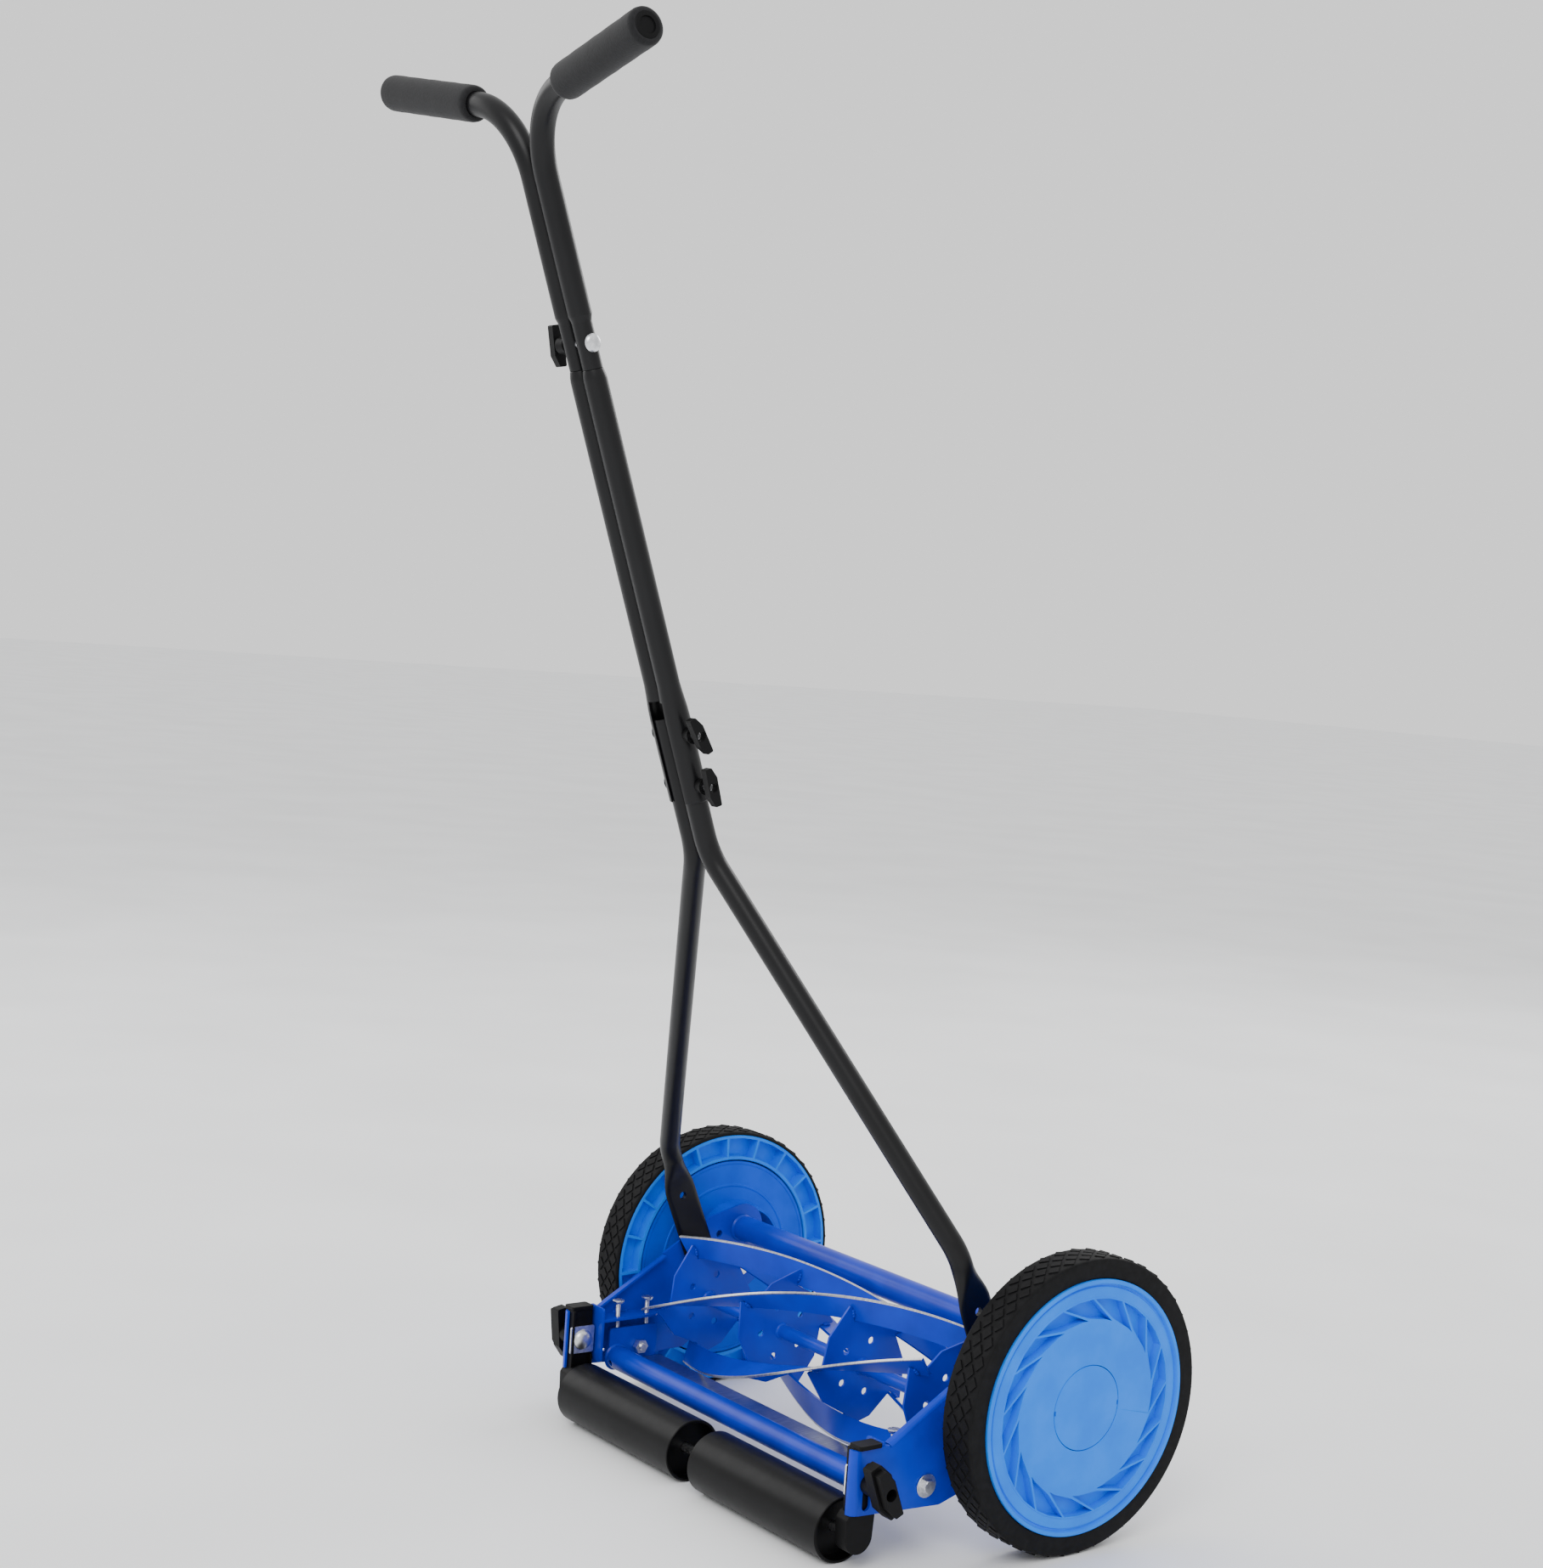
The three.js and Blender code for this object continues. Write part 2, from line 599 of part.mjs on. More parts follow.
function blade(index) {
  const half = bladeThickness / 2;
  const root = reelRadius - bladeWidth;
  const section = outlineOf([[root, -half], [reelRadius, -half], [reelRadius, half], [root, half]]);
  const steps = 18;
  const form = new THREE.ExtrudeGeometry(section, { depth: 2 * bladeHalfLength, steps, bevelEnabled: false });
  const place = form.attributes.position;
  for (let i = 0; i < place.count; i += 1) {
    const x = place.getZ(i) - bladeHalfLength;
    const angle = radians(bladePhase + index * 360 / bladeCount - bladeTwist * x);
    const along = place.getX(i);
    const across = place.getY(i);
    place.setXYZ(i, x, reelY + along * Math.cos(angle) - across * Math.sin(angle),
      reelZ + along * Math.sin(angle) + across * Math.cos(angle));
  }
  return form;
}

function spider(x) {
  const radius = reelRadius - bladeWidth - gap;
  const phase = bladePhase - bladeTwist * x;
  const corners = [];
  for (let i = 0; i < bladeCount; i += 1) {
    for (const spread of [-spiderSpread, spiderSpread]) {
      const angle = radians(phase + i * 360 / bladeCount + spread);
      corners.push([reelY + radius * Math.cos(angle), reelZ + radius * Math.sin(angle)]);
    }
  }
  const shape = outlineOf(corners);
  shape.holes.push(polygonHole(shaftRadius + gap, reelY, reelZ, 12));
  for (let i = 0; i < bladeCount; i += 1) {
    const angle = radians(phase + (i + 0.5) * 360 / bladeCount);
    shape.holes.push(polygonHole(spiderHoleRadius, reelY + spiderHoleCircle * Math.cos(angle),
      reelZ + spiderHoleCircle * Math.sin(angle), 6));
  }
  return sheetX(shape, x - spiderThickness / 2, x + spiderThickness / 2);
}

for (let i = 0; i < bladeCount; i += 1) add(`reel_blade_${i + 1}`, blade(i), 'blueSteel');
spiderPlaces.forEach((x, i) => add(`reel_spider_${i + 1}`, spider(x), 'blueSteel'));

// ---- cutter bar: tube, two end plates and the bed knife ----
function endPlate() {
  const shape = outlineOf([[endPlateRear, endPlateFoot[0]], [endPlateFront, endPlateFoot[1]],
    [endPlateFront, endPlateTop], [endPlateRear, endPlateTop]]);
  shape.holes.push(polygonHole(boltRadius + boltGap, pivotY, pivotZ));
  return sheetX(shape, endPlateX, endPlateX + sheet);
}
const cutterTube = turnX([[-endPlateX - 1, cutterTubeRadius - 1.5], [-endPlateX - 1, cutterTubeRadius],
  [endPlateX + 1, cutterTubeRadius], [endPlateX + 1, cutterTubeRadius - 1.5]], cutterTubeY, cutterTubeZ, 16);
add('cutter_bar', fuse(cutterTube, endPlate(), mirrored(endPlate())), 'blueSteel');

const knifeReach = reelRadius + knifeClearance;
const knifeEdgeY = reelY + knifeReach * Math.cos(radians(knifeAngle));
const knifeEdgeZ = reelZ + knifeReach * Math.sin(radians(knifeAngle));
const knifeTail = [cutterTubeY + cutterTubeRadius + gap, cutterTubeZ - 4];
add('bed_knife', sheetX(outlineOf([knifeTail, [knifeTail[0], knifeTail[1] - knifeThickness],
  [knifeEdgeY + 2, knifeEdgeZ - knifeThickness - 1], [knifeEdgeY, knifeEdgeZ]]), -endPlateX + gap,
endPlateX - gap), 'steel');

addPair('cutter_pivot', hexBolt(plateOuterX + gap, endPlateX - gap, 6, pivotY, pivotZ, 10), 'zinc');

// ---- adjuster brackets: an upright web and a level tab, with two screws down to the end plate ----
function adjusterBracket() {
  const inner = plateInnerX + 0.5;
  const web = block(webInnerX, inner, webY, webY + sheet, webBottom, webTop);
  const tab = block(webInnerX, inner, webY + 1, tabFront, tabZ - sheet / 2, tabZ + sheet / 2);
  const holes = screwPlaces.map((y) => barZ(screwRadius + gap, screwX, y, tabZ - 5, tabZ + 5, 10));
  return carve(fuse(web, tab), ...holes);
}

screwPlaces.forEach((y, i) => {
  const foot = endPlateTop + gap + 0.2;
  const middle = screwTop - screwHeadHeight / 2;
  const stem = barZ(screwRadius, screwX, y, foot, middle, 10);
  const head = new THREE.CylinderGeometry(screwHeadRadius, screwHeadRadius - 1.2, screwHeadHeight, 14);
  head.rotateX(Math.PI / 2).translate(screwX, y, middle);
  addPair(`adjuster_screw_${i === 0 ? 'rear' : 'front'}`, fuse(stem, head), 'zinc');
});

// ---- roller carriage: brackets clamped in the slots, a rod and two rollers ----
const bracketOuter = plateInnerX - gap;
const bracketInner = bracketOuter - bracketThickness;
function rollerBracket() {
  const half = bracketWidth / 2;
  const bottom = rollerRadius;
  const shape = new THREE.Shape();
  shape.moveTo(slotY + bracketFront, armTop + 1);
  shape.lineTo(slotY - bracketRear, armTop + 1);
  for (let i = 0; i <= 8; i += 1) {
    const angle = Math.PI + Math.PI * i / 8;
    shape.lineTo(rollerY + 1 + (half - 1) * Math.cos(angle), bottom + (half - 1) * Math.sin(angle));
  }
  shape.holes.push(polygonHole(boltRadius + boltGap, slotY, carriageBoltZ));
  shape.holes.push(polygonHole(rodRadius + gap, rollerY, rollerRadius));
  const body = sheetX(shape, bracketInner, bracketOuter);
  const hook = block(bracketInner, plateOuterX + 3, slotY - bracketRear, slotY + bracketFront - 1,
    armTop + gap, armTop + gap + hookHeight);
  return fuse(body, hook);
}
addPair('roller_bracket', rollerBracket(), 'blackPlastic');
const carriageBoltEnd = plateOuterX + bracketKnob.boss + bracketKnob.depth - 5;
addPair('carriage_bolt', carriageBolt(bracketInner - gap, carriageBoltEnd, slotY, carriageBoltZ, boltRadius,
  carriageHeadRadius), 'zinc');
add('roller_rod', barX(rodRadius, -bracketOuter + 1, bracketOuter - 1, rollerY, rollerRadius, 10), 'steel');

function roller() {
  const start = rollerGapHalf;
  const end = rollerGapHalf + rollerLength;
  const wall = rollerRadius - rollerWall;
  const bore = rodRadius + runningGap;
  return turnX([[start, wall], [start, rollerRadius], [end, rollerRadius], [end, wall],
    [end - rollerRecess, wall], [end - rollerRecess, bore], [start + rollerRecess, bore],
    [start + rollerRecess, wall]],
  rollerY, rollerRadius, 20, true);
}
addPair('roller', roller(), 'blackPlastic');

const knobX = plateOuterX + gap;
add('bracket_knob_right', wingKnob(bracketKnob, knobX, 1, slotY, carriageBoltZ, 25), 'blackPlastic');
add('bracket_knob_left', wingKnob(bracketKnob, -knobX, -1, slotY, carriageBoltZ, 10), 'blackPlastic');

// ---- handle ----
// a point on the handle, so far along from the pivot and so far out from the middle
function handlePoint(along, x) {
  const lower = Math.min(along, meetAt);
  const upper = along - lower;
  return new THREE.Vector3(x,
    handlePivotY - lower * Math.sin(radians(forkLean)) - upper * Math.sin(radians(stemLean)),
    handlePivotZ + lower * Math.cos(radians(forkLean)) + upper * Math.cos(radians(stemLean)));
}

// a turned piece standing on the stem; the profile holds [distance along, radius] pairs
function turnStem(profile, x, sides = 12) {
  const outline = profile.map(([along, radius]) => new THREE.Vector2(radius, along - profile[0][0]));
  const form = outward(new THREE.LatheGeometry([...outline, outline[0]], sides));
  const foot = handlePoint(profile[0][0], x);
  return form.rotateX(Math.PI / 2 + radians(stemLean)).translate(foot.x, foot.y, foot.z);
}

function crossBore(along, radius) {
  const at = handlePoint(along, 0);
  return barX(radius, -80, 80, at.y, at.z, 8);
}

function forkTube() {
  const bore = tubeRadius - tubeWall;
  const tube = sweep([handlePoint(forkTop, stemX), handlePoint(meetAt, stemX), handlePoint(forkBend, forkX),
    handlePoint(tubeStart - 20, forkX)], [60, 45], tubeRadius, bore, 24);
  const strapX = plateInnerX - gap - strapThickness;
  const shape = new THREE.Shape();
  const half = strapWidth / 2;
  const waist = tubeRadius;
  shape.moveTo(half, 0);
  shape.lineTo(half, strapParallel);
  shape.lineTo(waist, strapEnd);
  shape.lineTo(-waist, strapEnd);
  shape.lineTo(-half, strapParallel);
  for (let i = 0; i < 6; i += 1) {
    const angle = Math.PI + Math.PI * i / 6;
    shape.lineTo(half * Math.cos(angle), half * Math.sin(angle));
  }
  shape.holes.push(polygonHole(boltRadius + boltGap, 0, 0));
  shape.holes.push(polygonHole(boltRadius, 0, strapHole, 10));
  const strap = sheetX(shape, strapX, strapX + strapThickness);
  strap.rotateX(radians(forkLean)).translate(0, handlePivotY, handlePivotZ);
  const belowTube = new THREE.BoxGeometry(30, 60, 60).rotateX(radians(forkLean));
  const cutAt = handlePoint(tubeStart - 30, forkX);
  const trimmed = carve(tube, belowTube.translate(cutAt.x, cutAt.y, cutAt.z));
  const bores = lowerBolts.map((along) => crossBore(along, boltRadius + boltGap));
  return carve(fuse(trimmed, strap), ...bores);
}
addPair('fork_tube', forkTube(), 'blackTube');
addPair('handle_bolt', hexBolt(plateOuterX + gap, plateInnerX - 2 * gap - strapThickness, 5, handlePivotY,
  handlePivotZ, 8), 'zinc');

function midTube() {
  const shellBore = tubeRadius + 2 * gap;
  const bore = tubeRadius - tubeWall;
  const spigot = neckRadius - tubeWall - gap;
  const shoulder = jointBottom - gap;
  const flare = shellTop - flareLength;
  const tube = turnStem([[shellBottom, shellBore], [shellBottom, shellRadius], [flare, shellRadius],
    [shellTop, tubeRadius], [shoulder - 6, tubeRadius], [shoulder, neckRadius], [shoulder, spigot],
    [shoulder + spigotLength, spigot], [shoulder + spigotLength, spigot - tubeWall],
    [shoulder - 8, spigot - tubeWall], [shoulder - 10, bore], [shellTop + 6, bore],
    [flare, shellBore]], stemX);
  const start = handlePoint(shellBottom - 10, 0);
  const length = shellTop - shellBottom + 10;
  const inside = new THREE.BoxGeometry(30, 40, length).translate(stemX - 14.8, 0, length / 2);
  inside.rotateX(radians(stemLean)).translate(0, start.y, start.z);
  const bores = [...lowerBolts, upperBolt].map((along) => crossBore(along, boltRadius + boltGap));
  return carve(tube, inside, ...bores);
}
addPair('mid_tube', midTube(), 'blackTube');

const cornerPoint = handlePoint(handleCorner, stemX);
const gripRun = Math.sqrt(gripLength ** 2 - gripRise ** 2 - gripSet ** 2);
const gripDirection = new THREE.Vector3(gripRun, gripSet, gripRise).normalize();

function upperTube() {
  const bore = tubeRadius - tubeWall;
  const end = cornerPoint.clone().addScaledVector(gripDirection, gripStart + gripLength - 3);
  const foot = handlePoint(jointTop + 2, stemX);
  const tube = sweep([foot, cornerPoint, end], [handleBend], tubeRadius, bore, 14);
  const neckBore = neckRadius - tubeWall;
  const neck = turnStem([[jointBottom, neckBore], [jointBottom, neckRadius], [jointTop - 6, neckRadius],
    [jointTop, tubeRadius], [jointTop + 3, tubeRadius], [jointTop + 3, tubeRadius - 0.4],
    [jointTop + 10, tubeRadius - 0.4], [jointTop + 10, neckBore]], stemX);
  return carve(fuse(tube, neck), crossBore(upperBolt, boltRadius + boltGap));
}
addPair('upper_tube', upperTube(), 'blackTube');

// a turned piece on the line of a grip; the profile holds [distance from the corner, radius] pairs
function turnGrip(profile, sides) {
  const outline = profile.map(([along, radius]) => new THREE.Vector2(radius, along));
  const closed = profile[0][1] > 0 ? [...outline, outline[0]] : outline;
  const form = outward(new THREE.LatheGeometry(closed, sides));
  const turn = new THREE.Quaternion().setFromUnitVectors(new THREE.Vector3(0, 1, 0), gripDirection);
  return form.applyQuaternion(turn).translate(cornerPoint.x, cornerPoint.y, cornerPoint.z);
}
const gripEnd = gripStart + gripLength;
const gripBore = tubeRadius + gap;
addPair('grip', turnGrip([[gripStart, gripBore], [gripStart, gripRadius - 2], [gripStart + 2, gripRadius],
  [gripEnd - 4, gripRadius], [gripEnd, gripRadius - 4], [gripEnd, gripBore]], 16), 'foam');

// ---- handle bolts and knobs ----
const shellOuter = stemX + shellRadius + gap;
lowerBolts.forEach((along, i) => {
  const at = handlePoint(along, 0);
  const place = i === 0 ? 'lower' : 'middle';
  const reach = shellOuter + handleKnob.boss + handleKnob.depth - 3;
  add(`${place}_bolt`, carriageBolt(-shellOuter, reach, at.y, at.z, boltRadius, 7.5), 'zinc');
  add(`${place}_knob`, wingKnob(handleKnob, shellOuter, 1, at.y, at.z, 20 + 14 * i), 'blackPlastic');
});
const upperAt = handlePoint(upperBolt, 0);
const neckOuter = stemX + neckRadius + gap;
const upperReach = neckOuter + handleKnob.boss + handleKnob.depth - 3;
add('upper_bolt', carriageBolt(neckOuter, -upperReach, upperAt.y, upperAt.z, boltRadius, 7), 'zinc');
add('upper_knob', wingKnob(handleKnob, -neckOuter, -1, upperAt.y, upperAt.z, 14), 'blackPlastic');

// ---- origin at the middle of the bounding box's base ----
const bounds = new THREE.Box3().setFromObject(mower);
const middle = bounds.getCenter(new THREE.Vector3());
for (const mesh of mower.children) mesh.position.set(-middle.x, -middle.y, -bounds.min.z);

export default mower;
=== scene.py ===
# Push reel mower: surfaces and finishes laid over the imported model.
import math

import bpy
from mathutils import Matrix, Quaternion, Vector


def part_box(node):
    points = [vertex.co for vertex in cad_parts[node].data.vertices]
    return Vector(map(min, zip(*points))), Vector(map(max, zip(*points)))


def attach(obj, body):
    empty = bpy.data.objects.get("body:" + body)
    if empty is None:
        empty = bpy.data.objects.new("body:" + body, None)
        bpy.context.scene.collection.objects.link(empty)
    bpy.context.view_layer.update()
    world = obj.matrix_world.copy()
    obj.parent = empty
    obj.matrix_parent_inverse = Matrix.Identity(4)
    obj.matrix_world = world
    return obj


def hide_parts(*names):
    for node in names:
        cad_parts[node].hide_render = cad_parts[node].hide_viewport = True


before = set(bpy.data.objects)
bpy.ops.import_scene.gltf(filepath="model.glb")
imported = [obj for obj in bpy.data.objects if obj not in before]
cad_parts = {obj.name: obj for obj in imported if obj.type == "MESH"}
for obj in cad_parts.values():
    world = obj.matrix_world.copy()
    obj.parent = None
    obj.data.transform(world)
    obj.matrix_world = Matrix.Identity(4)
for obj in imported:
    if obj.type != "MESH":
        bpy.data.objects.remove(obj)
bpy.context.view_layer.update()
print("frame loaded:", len(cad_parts), "nodes")

mm = 0.001
tyreLow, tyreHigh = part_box("tyre_right")
axleY = (tyreLow.y + tyreHigh.y) / 2  # both wheels turn on this line
xAxis = Vector((1, 0, 0))
zAxis = Vector((0, 0, 1))
weldGap = 0.000005  # corners nearer than this are merged

# centre lines that run across the mower, as (y, z)
shaftLine = (-63.6, 109.36)
bushLine = (-63.6, 109.4)
pivotLine = (-120, 62.5)
handleLine = (-45, 134)
tieLine = (2, 162)


# Sizes below are in millimetres from the ground point under the axles:
# x to the right, y forward, z up
def at(x, y, z):
    return Vector((x * mm, axleY + y * mm, z * mm))


# picking and editing
def pick(*pieces):
    if bpy.context.object and bpy.context.object.mode != "OBJECT":
        bpy.ops.object.mode_set(mode="OBJECT")
    bpy.ops.object.select_all(action="DESELECT")
    for piece in pieces:
        piece.select_set(True)
    if pieces:
        bpy.context.view_layer.objects.active = pieces[0]


def named(name):
    piece = bpy.context.object
    piece.name = name
    piece.data.name = name
    return piece


def editAll(piece):
    pick(piece)
    bpy.ops.object.mode_set(mode="EDIT")
    bpy.ops.mesh.select_all(action="SELECT")


def settle(piece):
    pick(piece)
    bpy.ops.object.transform_apply(location=True, rotation=True, scale=True)
    return piece


def closeUp(piece):
    editAll(piece)
    bpy.ops.mesh.remove_doubles(threshold=weldGap)
    bpy.ops.mesh.normals_make_consistent(inside=False)
    bpy.ops.object.mode_set(mode="OBJECT")
    return piece


def modify(piece, kind, **settings):
    pick(piece)
    bpy.ops.object.modifier_add(type=kind)
    modifier = piece.modifiers[-1]
    for setting, value in settings.items():
        setattr(modifier, setting, value)
    bpy.ops.object.modifier_apply(modifier=modifier.name)
    return piece


def cutAway(piece, *tools):
    tool = joinUp(tools[0].name, *tools)
    modify(piece, "BOOLEAN", operation="DIFFERENCE", object=tool, solver="EXACT")
    bpy.data.objects.remove(tool)
    return piece


def joinUp(name, *pieces):
    pick(*pieces)
    if len(pieces) > 1:
        bpy.ops.object.join()
    return named(name)


def soften(piece, width, segments=2, angle=35):
    modify(piece, "BEVEL", width=width * mm, segments=segments, limit_method="ANGLE",
           angle_limit=math.radians(angle), harden_normals=False)
    return smooth(piece)


def smooth(piece, angle=35):
    pick(piece)
    bpy.ops.object.shade_smooth_by_angle(angle=math.radians(angle))
    return piece


# ways of making a shape
def drawLine(name, points):
    pick()
    bpy.ops.mesh.primitive_plane_add(size=0.01, location=(0, 0, 0))
    piece = named(name)
    bpy.ops.object.mode_set(mode="EDIT")
    bpy.ops.mesh.select_mode(type="VERT")
    bpy.ops.mesh.select_all(action="SELECT")
    bpy.ops.mesh.merge(type="CENTER")
    bpy.ops.transform.translate(value=points[0])
    for last, point in zip(points, points[1:]):
        bpy.ops.mesh.extrude_region_move(TRANSFORM_OT_translate={"value": point - last})
    return piece


def drawLoop(name, points):
    piece = drawLine(name, [*points, points[0]])
    bpy.ops.mesh.select_all(action="SELECT")
    bpy.ops.mesh.remove_doubles(threshold=weldGap)
    return piece


# a flat outline given a thickness
def cutSheet(name, points, depth):
    piece = drawLoop(name, points)
    bpy.ops.mesh.edge_face_add()
    bpy.ops.mesh.select_all(action="SELECT")
    bpy.ops.mesh.extrude_region_move(TRANSFORM_OT_translate={"value": depth})
    return closeUp(piece)


# rounds the corners of an outline; a corner is (y, z) or (y, z, radius)
def rounded(corners, radius=0, steps=5):
    outline = []
    for i, corner in enumerate(corners):
        here = Vector(corner[:2])
        bend = corner[2] if len(corner) > 2 else radius
        back = (Vector(corners[i - 1][:2]) - here).normalized()
        on = (Vector(corners[(i + 1) % len(corners)][:2]) - here).normalized()
        half = back.angle(on) / 2
        if bend == 0 or half > 1.56:
            outline.append(tuple(here))
            continue
        centre = here + (back + on).normalized() * bend / math.sin(half)
        first = here + back * bend / math.tan(half) - centre
        sweep = math.pi - 2 * half
        if back.cross(on) > 0:
            sweep = -sweep
        for step in range(steps + 1):
            turn = sweep * step / steps
            outline.append((centre.x + first.x * math.cos(turn) - first.y * math.sin(turn),
                            centre.y + first.x * math.sin(turn) + first.y * math.cos(turn)))
    return outline


# an outline in y and z, cut from sheet that lies between two x values
def plate(name, outline, x0, x1):
    return cutSheet(name, [at(x0, y, z) for y, z in outline], Vector(((x1 - x0) * mm, 0, 0)))


# a turned shape: the profile holds distances along the axis and radii
def turned(name, profile, foot, axis, steps=64, closed=True):
    axis = axis.normalized()
    across = axis.orthogonal().normalized()
    points = [foot + axis * along * mm + across * radius * mm for along, radius in profile]
    if closed:
        points.append(points[0])
    piece = drawLine(name, points)
    bpy.ops.mesh.select_all(action="SELECT")
    bpy.ops.mesh.spin(steps=steps, angle=2 * math.pi, center=foot, axis=axis)
    bpy.ops.mesh.select_all(action="SELECT")
    bpy.ops.mesh.remove_doubles(threshold=weldGap)
    bpy.ops.mesh.delete_loose()
    return closeUp(piece)


# turned about a line along x; along is measured from the middle of the mower
def turnedX(name, profile, y, z, steps=64, closed=True):
    return turned(name, profile, at(0, y, z), xAxis, steps, closed)


# the same on both ends: the profile given runs inwards from the right end
def bothEnds(profile):
    return [*profile, *((-x, radius) for x, radius in reversed(profile))]


# a round bar across the mower
def pin(name, radius, length, middle, sides=32):
    pick()
    bpy.ops.mesh.primitive_cylinder_add(vertices=sides, radius=radius * mm, depth=length * mm,
                                        location=middle, rotation=(0, math.pi / 2, 0))
    return settle(named(name))


def rod(name, radius, x0, x1, y, z, sides=32):
    return pin(name, radius, abs(x1 - x0), at((x0 + x1) / 2, y, z), sides)


def upright(name, radius, x, y, z0, z1, sides=32):
    pick()
    bpy.ops.mesh.primitive_cylinder_add(vertices=sides, radius=radius * mm, depth=(z1 - z0) * mm,
                                        location=at(x, y, (z0 + z1) / 2))
    return settle(named(name))


def slab(name, x0, x1, y0, y1, z0, z1):
    pick()
    bpy.ops.mesh.primitive_cube_add(size=1, location=at((x0 + x1) / 2, (y0 + y1) / 2, (z0 + z1) / 2))
    bpy.ops.transform.resize(value=((x1 - x0) * mm, (y1 - y0) * mm, (z1 - z0) * mm))
    return settle(named(name))


def arc(y, z, radius, start, end, steps):
    turns = [math.radians(start + (end - start) * i / steps) for i in range(steps + 1)]
    return [(y + radius * math.cos(turn), z + radius * math.sin(turn)) for turn in turns]


# a pipe bent at its corners: straight runs are extruded and each bend is spun about its own centre
def bentPipe(name, corners, bends, radius, sides=32, bendSteps=10):
    pick()
    heading = (corners[1] - corners[0]).normalized()
    bpy.ops.mesh.primitive_circle_add(vertices=sides, radius=radius * mm, location=corners[0],
                                      rotation=heading.to_track_quat("Z", "Y").to_euler())
    piece = named(name)
    bpy.ops.object.mode_set(mode="EDIT")
    bpy.ops.mesh.select_all(action="SELECT")
    place = corners[0]
    for corner, ahead, bend in zip(corners[1:], corners[2:], bends):
        back = (place - corner).normalized()
        on = (ahead - corner).normalized()
        turn = math.pi - back.angle(on)
        reach = bend * mm * math.tan(turn / 2)
        bpy.ops.mesh.extrude_region_move(TRANSFORM_OT_translate={"value": corner + back * reach - place})
        centre = corner + (back + on).normalized() * bend * mm / math.cos(turn / 2)
        axis = (-back).cross(on).normalized()
        bpy.ops.mesh.spin(steps=bendSteps, angle=-turn, center=centre, axis=axis)
        place = corner + on * reach
    bpy.ops.mesh.extrude_region_move(TRANSFORM_OT_translate={"value": corners[-1] - place})
    bpy.ops.object.mode_set(mode="OBJECT")
    settle(piece)
    return closeUp(piece)


# copies, placing and riding
def copyOf(piece, name):
    pick(piece)
    bpy.ops.object.duplicate(linked=False)
    return named(name)


def turnAboutX(piece, angle, centre):
    editAll(piece)
    bpy.ops.transform.rotate(value=angle, orient_axis="X", orient_type="GLOBAL", center_override=centre)
    bpy.ops.object.mode_set(mode="OBJECT")


def faceOut(piece):
    editAll(piece)
    bpy.ops.mesh.normals_make_consistent(inside=False)
    bpy.ops.object.mode_set(mode="OBJECT")
    return piece


def otherSide(piece, name):
    twin = copyOf(piece, name)
    bpy.ops.transform.resize(value=(-1, 1, 1), center_override=(0, 0, 0), orient_type="GLOBAL")
    return faceOut(settle(twin))


def fit(piece, material, body, slotName, *nodes):
    modify(piece, "WEIGHTED_NORMAL", keep_sharp=True)  # flat faces stay flat beside rounded edges
    piece.data.materials.clear()
    piece.data.materials.append(material)
    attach(piece, body)
    if nodes:
        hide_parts(*nodes)
    return piece


# fits a right-hand piece and its mirror image on the left
def fitPair(piece, material, body, slotName, *nodes):
    twin = otherSide(piece, piece.name.replace("Right", "Left"))
    for each, side in ((piece, "right"), (twin, "left")):
        fit(each, material, body.format(side=side), slotName, *(node.format(side=side) for node in nodes))
    return piece, twin


# materials
def colour(code):
    parts = [int(code[i:i + 2], 16) / 255 for i in (1, 3, 5)]
    linear = [c / 12.92 if c <= 0.04045 else ((c + 0.055) / 1.055) ** 2.4 for c in parts]
    return (*linear, 1)


def addNode(tree, kind, values=None, links=None, **settings):
    made = tree.nodes.new(kind)
    for setting, value in settings.items():
        setattr(made, setting, value)
    for socket, value in (values or {}).items():
        made.inputs[socket].default_value = value
    for socket, source in (links or {}).items():
        tree.links.new(source, made.inputs[socket])
    return made


def newMaterial(name, **values):
    material = bpy.data.materials.new(name)
    material.use_nodes = True
    tree = material.node_tree
    shader = tree.nodes["Principled BSDF"]
    for socket, value in values.items():
        shader.inputs[socket.replace("_", " ")].default_value = value
    place = addNode(tree, "ShaderNodeTexCoord").outputs["Object"]
    return material, tree, shader, place


# two colours blended by a pattern
def blendColours(tree, shader, pattern, low, high, start=0.35, end=0.65):
    ramp = addNode(tree, "ShaderNodeValToRGB", links={"Fac": pattern})
    ramp.color_ramp.elements[0].position = start
    ramp.color_ramp.elements[0].color = colour(low)
    ramp.color_ramp.elements[1].position = end
    ramp.color_ramp.elements[1].color = colour(high)
    tree.links.new(ramp.outputs["Color"], shader.inputs["Base Color"])


def varyRoughness(tree, shader, pattern, low, high):
    spread = addNode(tree, "ShaderNodeMapRange", {"To Min": low, "To Max": high}, {"Value": pattern})
    tree.links.new(spread.outputs["Result"], shader.inputs["Roughness"])


def addRelief(tree, shader, pattern, height, strength=1.0):
    bump = addNode(tree, "ShaderNodeBump", {"Distance": height * mm, "Strength": strength},
                   {"Height": pattern})
    tree.links.new(bump.outputs["Normal"], shader.inputs["Normal"])


# soft random patches, so many millimetres across
def speckle(tree, place, size, detail=2.0):
    values = {"Scale": 1 / (size * mm), "Detail": detail}
    return addNode(tree, "ShaderNodeTexNoise", values, {"Vector": place}).outputs["Fac"]


